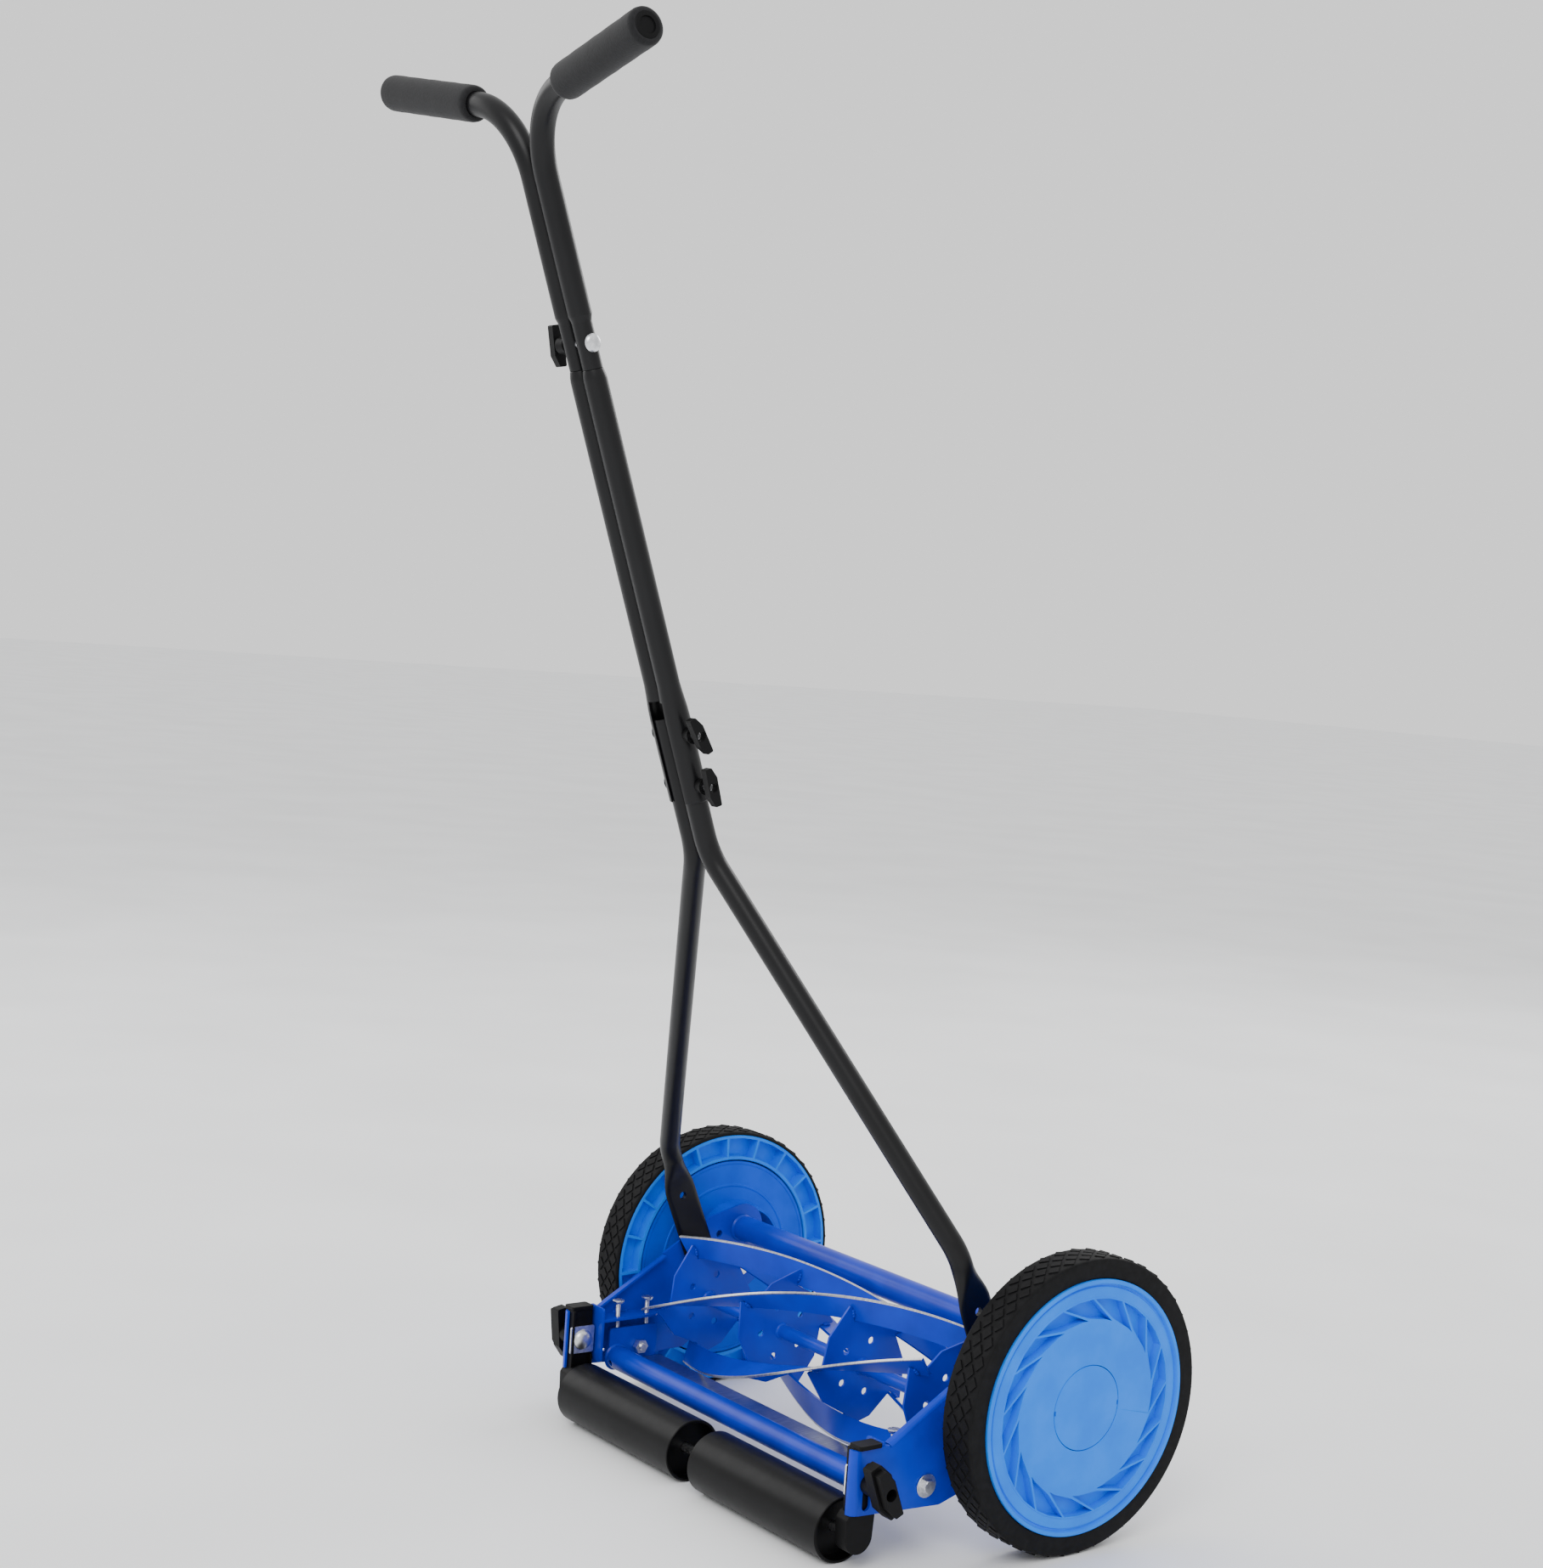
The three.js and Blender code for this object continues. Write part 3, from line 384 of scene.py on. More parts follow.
# powder coat, baked on steel: an even gloss with a faint orange peel 1.5 mm across, 0.02 mm high,
# and cloudy patches of 45 mm that keep long surfaces from looking flat
def powderCoat(name, dark, light, roughness, peel):
    material, tree, shader, place = newMaterial(name, IOR=1.5, Specular_IOR_Level=0.25)
    blendColours(tree, shader, speckle(tree, place, 45, 3), dark, light)
    varyRoughness(tree, shader, speckle(tree, place, 12, 4), roughness - 0.05, roughness + 0.06)
    addRelief(tree, shader, speckle(tree, place, 1.5, 1), peel)
    return material


blueCoat = powderCoat("blue powder-coated steel", "#0028A8", "#0032BE", 0.3, 0.02)
blackCoat = powderCoat("black powder-coated steel tube", "#08080A", "#0C0C0E", 0.36, 0.025)


# plastic from a mould or a die: satin, with a fine grain, both its size and its height in millimetres
def mouldedPlastic(name, dark, light, roughness, grain, height):
    material, tree, shader, place = newMaterial(name, IOR=1.49, Specular_IOR_Level=0.14)
    blendColours(tree, shader, speckle(tree, place, 30, 3), dark, light)
    varyRoughness(tree, shader, speckle(tree, place, 8, 3), roughness - 0.05, roughness + 0.06)
    addRelief(tree, shader, speckle(tree, place, grain, 2), height)
    return material


bluePlastic = mouldedPlastic("blue moulded polypropylene", "#0074EC", "#007EF4", 0.4, 0.9, 0.012)
# the same blue plastic made darker: painted shade for the dust cover, which lies recessed inside the wheel
bluePlasticPaintedShade = mouldedPlastic("deep blue moulded polypropylene", "#0046C8", "#0050D6", 0.4, 0.9, 0.012)
blackNylon = mouldedPlastic("black moulded nylon", "#070708", "#0B0B0C", 0.5, 0.8, 0.02)
blackPipe = mouldedPlastic("black extruded polyethylene pipe", "#060607", "#0A0A0B", 0.36, 3.5, 0.03)


# solid rubber, moulded: near black and dull, with paler dust in patches of 6 mm and a grain of 0.7 mm
def tyreRubber():
    material, tree, shader, place = newMaterial("moulded tyre rubber", IOR=1.52, Specular_IOR_Level=0.15)
    blendColours(tree, shader, speckle(tree, place, 6, 5), "#070708", "#111113", 0.3, 0.75)
    varyRoughness(tree, shader, speckle(tree, place, 5, 4), 0.62, 0.8)
    addRelief(tree, shader, speckle(tree, place, 0.7, 3), 0.03)
    return material


# nitrile foam: matt, with closed cells about 0.8 mm across, drawn at 1.3 mm so that they show
def foam():
    material, tree, shader, place = newMaterial("black nitrile foam", IOR=1.45, Roughness=0.93,
                                                Sheen_Weight=0.08, Sheen_Roughness=0.5)
    voronoi = addNode(tree, "ShaderNodeTexVoronoi", {"Scale": 1 / (1.3 * mm)}, {"Vector": place})
    cells = voronoi.outputs["Distance"]
    blendColours(tree, shader, speckle(tree, place, 2.5, 5), "#08080A", "#131316", 0.3, 0.7)
    addRelief(tree, shader, cells, 0.12, 0.8)
    return material


# bright zinc plate on steel: pale grey, with a soft sheen mottled every 1 to 3 mm
def zincPlate():
    material, tree, shader, place = newMaterial("bright zinc plate", Metallic=1.0)
    blendColours(tree, shader, speckle(tree, place, 3, 4), "#C9CBCE", "#E6E7E9")
    varyRoughness(tree, shader, speckle(tree, place, 1.2, 3), 0.22, 0.42)
    addRelief(tree, shader, speckle(tree, place, 0.5, 2), 0.008)
    return material


# ground steel: the bare edge of a blade, with grinding lines 0.4 mm apart that run round the reel
def groundSteel():
    material, tree, shader, place = newMaterial("ground steel", Metallic=1.0, Anisotropic=0.4)
    lines = addNode(tree, "ShaderNodeMapping", {"Scale": (1 / (0.4 * mm), 60, 60)}, {"Vector": place})
    streaks = addNode(tree, "ShaderNodeTexNoise", {"Scale": 1.0, "Detail": 2.0},
                      {"Vector": lines.outputs["Vector"]})
    blendColours(tree, shader, streaks.outputs["Fac"], "#9A9CA0", "#D5D7DA", 0.3, 0.7)
    varyRoughness(tree, shader, streaks.outputs["Fac"], 0.25, 0.45)
    return material


rubber = tyreRubber()
gripFoam = foam()
zinc = zincPlate()
bareSteel = groundSteel()
print("materials made")


# wheels
wheel = {"inner": 243.3, "outer": 278.3, "height": 127, "treadBase": 126.1, "lugTop": 127, "lugs": 46,
         "rowPitch": 7, "rowMiddle": 260.6, "rows": 4, "lugHalf": (6.1, 7.5)}


# copies what is given round the wheel
def repeatRound(piece, count):
    editAll(piece)
    bpy.ops.mesh.spin(steps=count - 1, angle=2 * math.pi * (count - 1) / count, dupli=True,
                      center=at(0, 0, wheel["height"]), axis=xAxis)
    bpy.ops.object.mode_set(mode="OBJECT")
    return piece


def tyre():
    inner, outer, base = wheel["inner"], wheel["outer"], wheel["treadBase"]
    body = turnedX("tyreRight", [
        (inner, 122.9), (inner, 124.2), (inner + 0.8, 125.5), (inner + 2.4, base), (outer - 2.6, base),
        (outer - 0.8, 125.3), (outer, 123.8), (outer, 110.2), (outer - 1, 109), (258.4, 109),
        (258.4, 122.9)], 0, wheel["height"], 128)
    smooth(body, 40)
    halfX, halfY = wheel["lugHalf"]
    rise = wheel["lugTop"] - base + 0.6
    middleZ = wheel["height"] + wheel["lugTop"] - rise / 2
    pick()
    bpy.ops.mesh.primitive_cylinder_add(vertices=4, radius=1, depth=rise * mm,
                                        location=at(wheel["rowMiddle"], 0, middleZ))
    lugs = named("tyreLugs")
    bpy.ops.transform.resize(value=(halfX * mm, halfY * mm, 1))
    settle(lugs)
    for face in lugs.data.polygons:
        face.select = face.normal.z > 0.9
    bpy.ops.object.mode_set(mode="EDIT")
    bpy.ops.mesh.select_mode(type="FACE")
    bpy.ops.transform.resize(value=(0.84, 0.84, 1))  # sloping flanks
    bpy.ops.mesh.select_mode(type="VERT")
    bpy.ops.object.mode_set(mode="OBJECT")
    rows = []
    for row in range(wheel["rows"]):
        copy = copyOf(lugs, "tyreRow")
        offset = row - (wheel["rows"] - 1) / 2
        bpy.ops.transform.translate(value=(offset * wheel["rowPitch"] * mm, 0, 0))
        settle(copy)
        if row % 2:
            turnAboutX(copy, math.pi / wheel["lugs"], at(0, 0, wheel["height"]))
        rows.append(copy)
    bpy.data.objects.remove(lugs)
    tread = joinUp("tyreTread", *rows)
    repeatRound(tread, wheel["lugs"])
    smooth(faceOut(tread), 20)
    return joinUp("tyreRight", body, tread)


fitPair(tyre(), rubber, "wheel_{side}", "tyre", "tyre_{side}")

# the pockets' and webs' sizes are radii and distances along x, and turn, lean and start are in degrees
hub = {"pockets": 17, "pocketTip": 74.5, "pocketRim": 92.4, "pocketTurn": 19.7, "pocketLean": 18,
       "pocketStart": 90, "ribThickness": 2.4, "pocketFloor": 270, "face": 278.9, "webs": 20, "webWall": 2.6,
       "webFloor": 255.5, "webInner": 101.5, "webOuter": 119.6, "webStart": 3}


def onWheel(radius, angle):
    turn = math.radians(angle)
    return (radius * math.cos(turn), wheel["height"] + radius * math.sin(turn))


def wheelHub():
    body = turnedX("hubRight", [
        (250, 8.6), (250, 17), (268.6, 17), (268.6, 98), (244, 98), (243.3, 98.7), (243.3, 122),
        (243.9, 122.6), (258.1, 122.6), (258.1, 108.7), (279.5, 108.7), (280.2, 108), (280.2, 105.4),
        (279.6, 104.9), (276.6, 104.3), (276.6, 102.9), (278, 102.1), (278.3, 101.4), (278.3, 93.9),
        (hub["face"], 93.2), (hub["face"], 36.5), (272.3, 36.5), (272.3, 8.6)], 0, wheel["height"], 160)
    start, rim, tip = hub["pocketStart"], hub["pocketRim"], hub["pocketTip"]
    turn, lean = hub["pocketTurn"], hub["pocketLean"]
    pitch = 360 / hub["pockets"]
    shared = start - turn - lean + pitch  # where the rib before this pocket ends
    fin = [onWheel(rim, start), onWheel(rim + 0.2, start - turn / 2), onWheel(rim, start - turn),
           onWheel(tip, start - turn - lean), onWheel(tip + 0.5, start - turn - lean + 5),
           onWheel(tip + hub["ribThickness"], shared)]
    pocket = plate("hubPockets", fin, hub["pocketFloor"], hub["face"] + 2)
    pockets = closeUp(repeatRound(pocket, hub["pockets"]))
    span = 360 / hub["webs"] - math.degrees(hub["webWall"] / 119)
    first, inner, outer = hub["webStart"], hub["webInner"], hub["webOuter"]
    web = [onWheel(inner, first), onWheel(inner, first + span / 2), onWheel(inner, first + span),
           onWheel(outer, first + span), onWheel(outer + 0.2, first + span / 2), onWheel(outer, first)]
    webs = closeUp(repeatRound(plate("hubWebs", web, wheel["inner"] - 2, hub["webFloor"]), hub["webs"]))
    cutAway(body, pockets, webs)
    return soften(body, 0.35, 2, 40)


fitPair(wheelHub(), bluePlastic, "wheel_{side}", "blue_plastic", "hub_{side}")


def hubCap():
    body = turnedX("hubCapRight", [
        (279.2, 0), (279.2, 34.8), (278.9, 35.7), (278.2, 36), (272.4, 36), (272.4, 33.6), (277, 33.6),
        (277, 0)], 0, wheel["height"], 96, closed=False)
    notches = [slab("capNotch", 276, 281, side * 36 - 1.6, side * 36 + 1.6, 125, 129) for side in (-1, 1)]
    return smooth(cutAway(body, *notches))


fitPair(hubCap(), bluePlastic, "wheel_{side}", "blue_plastic", "hub_cap_{side}")

cover = {"inner": 244.5, "outer": 246.5, "radius": 96.5, "hoodRadius": 42, "hoodY": 8, "hoodZ": 140}


def dustCover():
    inner, outer, radius, hood = cover["inner"], cover["outer"], cover["radius"], cover["hoodRadius"]
    disc = turnedX("dustCoverRight", [
        (outer, 9), (outer, radius), (243.9, radius), (243.9, 94), (inner, 93.4), (inner, 74), (243.7, 73.2),
        (243.7, 71.6), (inner, 70.8), (inner, 9)], 0, wheel["height"], 128)
    cutAway(disc, rod("coverHole", 8, 240, 250, *bushLine))
    hoodLine = [at(x, cover["hoodY"] - reach, cover["hoodZ"]) for x, reach in
                ((223, hood), (244.8, hood + 2), (244.8, hood - 1), (223, hood - 2.6))]
    shell = drawLoop("coverHood", hoodLine)
    bpy.ops.mesh.edge_face_add()
    bpy.ops.mesh.select_all(action="SELECT")
    bpy.ops.mesh.spin(steps=40, angle=math.radians(190), center=at(0, cover["hoodY"], cover["hoodZ"]),
                      axis=xAxis)
    closeUp(shell)
    return soften(joinUp("dustCoverRight", disc, shell), 0.5, 2, 40)


# the dust cover takes the darkened copy of the blue plastic: painted shade, not a colour of its own
fitPair(dustCover(), bluePlasticPaintedShade, "chassis", "blue_plastic", "dust_cover_{side}")
print("wheels made")


def axle():
    return smooth(turnedX("axleRight", [
        (275.3, 0), (275.3, 7), (274.3, 8), (219.7, 8), (219.7, 12.4), (219.1, 13), (217.3, 13),
        (216.7, 12.4), (216.7, 0)], 0, wheel["height"], 48, closed=False))


fitPair(axle(), zinc, "chassis", "steel", "axle_{side}")

# side plates: pressed from 2.5 mm sheet, with the top and rear edges turned in
sidePlate = {"inner": 220, "outer": 222.5, "sheet": 2.5, "slope": 0.593, "flange": 8, "bend": 3,
             "rear": -196, "rearBend": 6.5, "rearFlange": 214.2, "foot": 48, "armTop": 102, "slotY": -181.5,
             "slotRadius": 4, "webInner": 199, "screwX": 207.5, "screwRows": (-145, -113)}
slopeAngle = math.atan(sidePlate["slope"])
slopeFoot = (-162, sidePlate["armTop"])


# a point along the sloping edge, and so far above it
def onSlope(along, above=0):
    return (slopeFoot[0] + along * math.cos(slopeAngle) - above * math.sin(slopeAngle),
            slopeFoot[1] + along * math.sin(slopeAngle) + above * math.cos(slopeAngle))


def sidePlates():
    inner, outer, bend = sidePlate["inner"], sidePlate["outer"], sidePlate["bend"]
    rear, rearBend, foot, sheet = (sidePlate[key] for key in ("rear", "rearBend", "foot", "sheet"))
    outline = rounded([
        (rear + rearBend, foot), (rear + rearBend, sidePlate["armTop"]), (*slopeFoot, 4), onSlope(1),
        onSlope(1, -bend), onSlope(85, -bend), onSlope(85), (-36, 176.7, 6), *arc(*tieLine, 24, 105, 0, 12),
        *arc(0, wheel["height"], 28, 20, -40, 8), (-60, 50, 8), (-84, 49.5, 10), (-104, 43.5, 10)])
    body = plate("sidePlateRight", outline, inner, outer)
    holes = [rod("plateHole", radius, inner - 2, outer + 2, *place, 40) for radius, place in
             ((8.5, (0, wheel["height"])), (9.6, bushLine), (4, handleLine), (4, pivotLine),
              (3.5, (-25, 158.5)), (1.6, (-150, 58)))]
    slotY, slotRadius = sidePlate["slotY"], sidePlate["slotRadius"]
    slot = plate("plateSlot", [*arc(slotY, 87, slotRadius, 0, 180, 10),
                               *arc(slotY, 55, slotRadius, 180, 360, 10)],
                 inner - 2, outer + 2)
    cutAway(body, *holes, slot)
    lip = outer - sidePlate["flange"]
    edge = [*((outer - bend + bend * math.cos(turn), -bend + bend * math.sin(turn)) for turn in
              (0, 0.4, 0.8, 1.2, math.pi / 2)), (lip, 0), (lip, -sheet), (inner - 0.4, -sheet),
            (inner, -bend),
            (inner, -bend - 0.6), (outer, -bend - 0.6)]
    along = Vector((0, math.cos(slopeAngle), math.sin(slopeAngle))) * 82 * mm
    topFlange = cutSheet("topFlange", [at(x, *onSlope(2, above)) for x, above in edge], along)
    # seen from above, the rear flange runs round the outside of its bend, along its end and back inside
    centreX, centreY, end = outer - rearBend, rear + rearBend, sidePlate["rearFlange"]
    outside, inside = ([(centreX + radius * math.cos(turn), centreY - radius * math.sin(turn))
                        for turn in turns] for radius, turns in
                       ((rearBend, (0, 0.26, 0.52, 0.79, 1.05, 1.31, math.pi / 2)),
                        (rearBend - sheet, (math.pi / 2, 1.05, 0.52, 0))))
    corner = [(outer, centreY + 0.5), *outside, (end, rear), (end, rear + sheet), *inside,
              (inner, centreY + 0.5)]
    rise = Vector((0, 0, (sidePlate["armTop"] - foot) * mm))
    rearFlange = cutSheet("rearFlange", [at(x, y, foot) for x, y in corner], rise)
    root, edgeX = inner + 0.5, sidePlate["webInner"]
    web = cutSheet("adjusterWeb", [at(x, -167, z) for x, z in rounded(
        [(root, 53), (root, 105), (edgeX, 105, 3), (edgeX, 53, 3)])], Vector((0, sheet * mm, 0)))
    tab = cutSheet("adjusterTab", [at(x, y, 91.25) for x, y in rounded(
        [(root, -165), (edgeX, -165), (edgeX, -102, 8), (root, -102, 2)])], Vector((0, 0, sheet * mm)))
    screwHoles = [upright("screwHole", 2.9, sidePlate["screwX"], y, 88, 97, 24)
                  for y in sidePlate["screwRows"]]
    cutAway(tab, *screwHoles)
    beads = [weld("plateWeld", at(219.8, y, z), zAxis, length) for y, z, length in
             ((-164.2, 74, 14), (-168, 62, 8))]
    beads.append(weld("tabWeld", at(219.6, -135, 94.2), Vector((0, 1, 0)), 16))
    for piece in (body, topFlange, rearFlange, web, tab):
        soften(piece, 0.45, 2, 40)
    return joinUp("sidePlateRight", body, topFlange, rearFlange, web, tab, *beads)


# a run of weld, as overlapping blobs
def weld(name, middle, along, length, radius=1.5):
    blobs = []
    count = max(2, round(length / 2.4))
    for i in range(count):
        offset = (i - (count - 1) / 2) * length / count * mm
        pick()
        size = radius * mm * (1 + 0.12 * math.sin(i * 2.1))
        bpy.ops.mesh.primitive_ico_sphere_add(subdivisions=2, radius=size, location=middle + along * offset)
        blobs.append(settle(named(name)))
    return smooth(joinUp(name, *blobs), 80)


fitPair(sidePlates(), blueCoat, "chassis", "blue_steel", "side_plate_{side}")


def tieTube():
    half = [(219.5, 9.6), (219.5, 11.7), (214.5, 11.7), (212.6, 12.5)]
    body = turnedX("tieTube", bothEnds(half), *tieLine, 64)
    bead = ((219.6, 11.4), (219.6, 13.6), (218.6, 13.3), (217.4, 11.6))
    rings = [turnedX("tieWeld", [(side * x, radius) for x, radius in bead], *tieLine, 48)
             for side in (1, -1)]
    return joinUp("tieTube", smooth(body, 30), *(smooth(ring, 80) for ring in rings))


fit(tieTube(), blueCoat, "chassis", "blue_steel", "tie_tube")


def reelBush():
    return smooth(turnedX("reelBushRight", [
        (217.2, 6.6), (217, 8.7), (217.4, 9), (222.8, 9), (222.8, 11.5), (223.3, 12), (224, 12),
        (224.5, 11.5), (224.5, 6.6)], *bushLine, 48))


fitPair(reelBush(), zinc, "chassis", "steel", "reel_bush_{side}")
print("chassis made")

# the reel: five twisted blades welded to four spiders on a shaft
# twist is over a blade's whole length, phase is the first blade's turn at the middle, both in degrees
reel = {"blades": 5, "radius": 66, "root": 44, "ground": 64.4, "half": 192, "thickness": 2.5, "steps": 96,
        "twist": -126.72, "phase": 51, "slant": 5, "spiders": (-177, -59, 59, 177), "earRadius": 58.5,
        "bodyRadius": 48.5, "holeCircle": 24, "holeRadius": 3.2}
bladeSpacing = 360 / reel["blades"]


def onReel(x, radius, turn, aside=0):
    angle = math.radians(turn)
    return at(x, shaftLine[0] + radius * math.cos(angle) - aside * math.sin(angle),
              shaftLine[1] + radius * math.sin(angle) + aside * math.cos(angle))


def blade(index):
    half = reel["thickness"] / 2
    y, z = shaftLine
    centre = at(0, y, z)
    outline = [(reel["root"], -half), (reel["ground"], -half), (reel["radius"] - 0.3, -half),
               (reel["radius"], -half + 0.3), (reel["radius"], half - 0.3), (reel["radius"] - 0.3, half),
               (reel["ground"], half), (reel["root"], half)]
    body = drawLoop("reelBlade", [at(-reel["half"], y + along, z + above) for along, above in outline])
    steps = reel["steps"]
    stride = xAxis * 2 * reel["half"] / steps * mm
    for _ in range(steps):
        bpy.ops.mesh.extrude_region_move(TRANSFORM_OT_translate={"value": stride})
    bpy.ops.mesh.select_all(action="DESELECT")
    bpy.ops.mesh.select_mode(type="EDGE")
    bpy.ops.mesh.select_non_manifold()
    bpy.ops.mesh.edge_face_add()
    bpy.ops.mesh.select_mode(type="VERT")
    bpy.ops.object.mode_set(mode="OBJECT")
    # each end is cut on a slant, longer at the ground edge
    width = (reel["radius"] - reel["root"]) * mm
    for corner in body.data.vertices:
        share = (reel["radius"] * mm - (corner.co.y - centre.y)) / width
        if abs(corner.co.x) > (reel["half"] - 0.5) * mm:
            corner.co.x -= math.copysign(share * reel["slant"] * mm, corner.co.x)
    pick(body)
    bpy.context.scene.cursor.location = centre
    bpy.ops.object.origin_set(type="ORIGIN_CURSOR")
    modify(body, "SIMPLE_DEFORM", deform_method="TWIST", deform_axis="X",
           angle=math.radians(reel["twist"]))
    body.rotation_euler.x = math.radians(reel["phase"] + bladeSpacing * index)
    settle(body)
    closeUp(body)
    body.name = f"reelBlade{index + 1}"
    smooth(body, 40)
    fit(body, blueCoat, "reel", "blue_steel", f"reel_blade_{index + 1}")
    body.data.materials.append(bareSteel)
    for face in body.data.polygons:
        away = face.center - centre
        if math.hypot(away.y, away.z) > (reel["ground"] + 0.2) * mm:
            face.material_index = 1


for index in range(reel["blades"]):
    blade(index)


def spider(index, x):
    start = reel["phase"] + reel["twist"] / (2 * reel["half"]) * x
    turns = [start + bladeSpacing * k for k in range(reel["blades"])]
    back = x - reel["thickness"] / 2
    corners = []
    for turn in turns:
        corners += [onReel(back, 43.4, turn, -1.6), onReel(back, 43.4, turn, 1.7),
                    onReel(back, reel["earRadius"] - 2, turn, 2), onReel(back, reel["earRadius"], turn, 3.6),
                    onReel(back, reel["bodyRadius"], turn + 38)]
    body = cutSheet("spider", corners, xAxis * reel["thickness"] * mm)
    holes = [pin("spiderHole", reel["holeRadius"], 8,
                 onReel(x, reel["holeCircle"], turn + bladeSpacing / 2), 28)
             for turn in turns]
    holes.append(rod("spiderBore", 6.1, x - 4, x + 4, *shaftLine, 48))
    cutAway(body, *holes)
    soften(body, 0.3, 2, 40)
    beads = [weld("bladeWeld", onReel(x + 1.6, 51, turn, 1.9),
                  (onReel(x, 60, turn) - onReel(x, 50, turn)).normalized(), 7, 1.7) for turn in turns]
    collar = turnedX("shaftWeld", [(x - 3.2, 5.9), (x - 2.4, 7.2), (x - 1, 8), (x + 1, 8), (x + 2.4, 7.2),
                                   (x + 3.2, 5.9)], *shaftLine, 40)
    piece = joinUp(f"spider{index + 1}", body, *beads, smooth(collar, 80))
    fit(piece, blueCoat, "reel", "blue_steel", f"reel_spider_{index + 1}")


for index, x in enumerate(reel["spiders"]):
    spider(index, x)


def reelShaft():
    half = [(268.1, 0), (268.1, 5.4), (267.5, 6), (226, 6), (225.6, 5.6), (224.9, 5.6), (224.5, 6)]
    return smooth(turnedX("reelShaft", bothEnds(half), *shaftLine, 48, closed=False))


fit(reelShaft(), blueCoat, "reel", "blue_steel", "reel_shaft")
print("reel made")

# cutter bar: a tube between two end plates that rock on the pivot bolts, with the bed knife in front
cutter = {"y": -145, "z": 54.5, "radius": 11, "wall": 1.6, "end": 206, "sheet": 2.5, "holeX": 199}


def cutterBar():
    y, z, radius, end = cutter["y"], cutter["z"], cutter["radius"], cutter["end"]
    half = [(end + 0.4, radius - cutter["wall"]), (end + 0.4, radius), (120, radius)]
    tube = turnedX("cutterBar", bothEnds(half), y, z, 64)
    drills = []
    for side in (-1, 1):
        pick()
        bpy.ops.mesh.primitive_cylinder_add(vertices=24, radius=2.8 * mm, depth=14 * mm,
                                            location=at(side * cutter["holeX"], y - 9, z - 3),
                                            rotation=(math.radians(82), 0, 0))
        drills.append(settle(named("tubeHole")))
    cutAway(tube, *drills)
    pieces = [smooth(tube, 30)]
    outline = rounded([(-153, 45.5, 4), (-100.5, 47, 6), (-100.5, 82.25, 3), (-153, 82.25, 3)])
    right = plate("endPlate", outline, end, end + cutter["sheet"])
    cutAway(right, rod("pivotHole", 4, 200, 212, *pivotLine))
    soften(right, 0.4, 2, 40)
    bead = [(end + 0.1, radius - 0.2), (end + 0.1, radius + 1.8), (end - 0.7, radius + 1.4),
            (end - 1.8, radius - 0.1)]
    ring = smooth(turnedX("tubeWeld", bead, y, z, 48), 80)
    pieces += [right, ring, otherSide(right, "endPlateLeft"), otherSide(ring, "tubeWeldLeft")]
    return joinUp("cutterBar", *pieces)


fit(cutterBar(), blueCoat, "cutter_bar_group", "blue_steel", "cutter_bar")


def bedKnife():
    body = plate("bedKnife", [(-133.4, 50.5), (-133.4, 47.5), (-94.9, 47.7), (-96.9, 51.7), (-101, 51.2)],
                 -205.7, 205.7)
    screws = [turned("knifeScrew", [(0, 0), (0, 4.4), (1.2, 3.6), (1.8, 0)], at(x, -120, 50.9), zAxis, 24,
                     closed=False) for x in (-150, -50, 50, 150)]
    soften(body, 0.3, 2, 30)
    return joinUp("bedKnife", body, *(smooth(screw) for screw in screws))


fit(bedKnife(), bareSteel, "cutter_bar_group", "steel", "bed_knife")


# a hexagon head or nut: its corners are turned off on the outer end
def hexagon(name, x0, x1, y, z, across):
    body = rod(name, across / math.sqrt(3), x0, x1, y, z, 6)
    behind = 2 * x0 - x1
    cone = turnedX("headTurning", [(behind, 0), (behind, across), (x1 - 1.9, across * 0.62),
                                   (x1, across * 0.5), (x1, 0)], y, z, 48, closed=False)
    modify(body, "BOOLEAN", operation="INTERSECT", object=cone, solver="EXACT")
    bpy.data.objects.remove(cone)
    return smooth(body, 25)


def washer(name, x0, x1, y, z, radius, bore):
    return smooth(turnedX(name, [(x0, bore), (x0, radius - 0.2), (x0 + 0.3, radius), (x1 - 0.3, radius),
                                 (x1, radius - 0.3), (x1, bore)], y, z, 48))


# a threaded end: rings 1 mm apart stand for the thread
def threaded(name, x0, x1, y, z, radius):
    count = int(abs(x1 - x0))
    step = (x1 - x0) / count
    line = [(x0, 0)]
    for i in range(count):
        line += [(x0 + step * (i + 0.1), radius - 0.35), (x0 + step * (i + 0.5), radius),
                 (x0 + step * (i + 0.9), radius - 0.35)]
    return smooth(turnedX(name, [*line, (x1, radius - 0.8), (x1, 0)], y, z, 24, closed=False), 60)


# a bolt through a side plate: its washer and head lie outside, its nut inside
def hexBolt(name, y, z, nutSeat, nutLength, washerRadius):
    seat = sidePlate["outer"] + 0.3
    pieces = [washer(name, seat, seat + 1.6, y, z, washerRadius, 3.4),
              hexagon("boltHead", seat + 1.6, seat + 6, y, z, 10.6),
              hexagon("nut", nutSeat, nutSeat - nutLength, y, z, 12),
              threaded("boltEnd", nutSeat - nutLength + 0.5, nutSeat - nutLength - 2.5, y, z, 3.5),
              smooth(rod("boltShank", 3.5, nutSeat - 1, seat + 2, y, z, 24))]
    return joinUp(name, *pieces)


cutterPivot = hexBolt("cutterPivotRight", *pivotLine, 205.7, 5.5, 10)
fitPair(cutterPivot, zinc, "chassis", "zinc", "cutter_pivot_{side}")
handleBolt = hexBolt("handleBoltRight", *handleLine, 214.4, 5, 8)
fitPair(handleBolt, zinc, "chassis", "zinc", "handle_bolt_{side}")


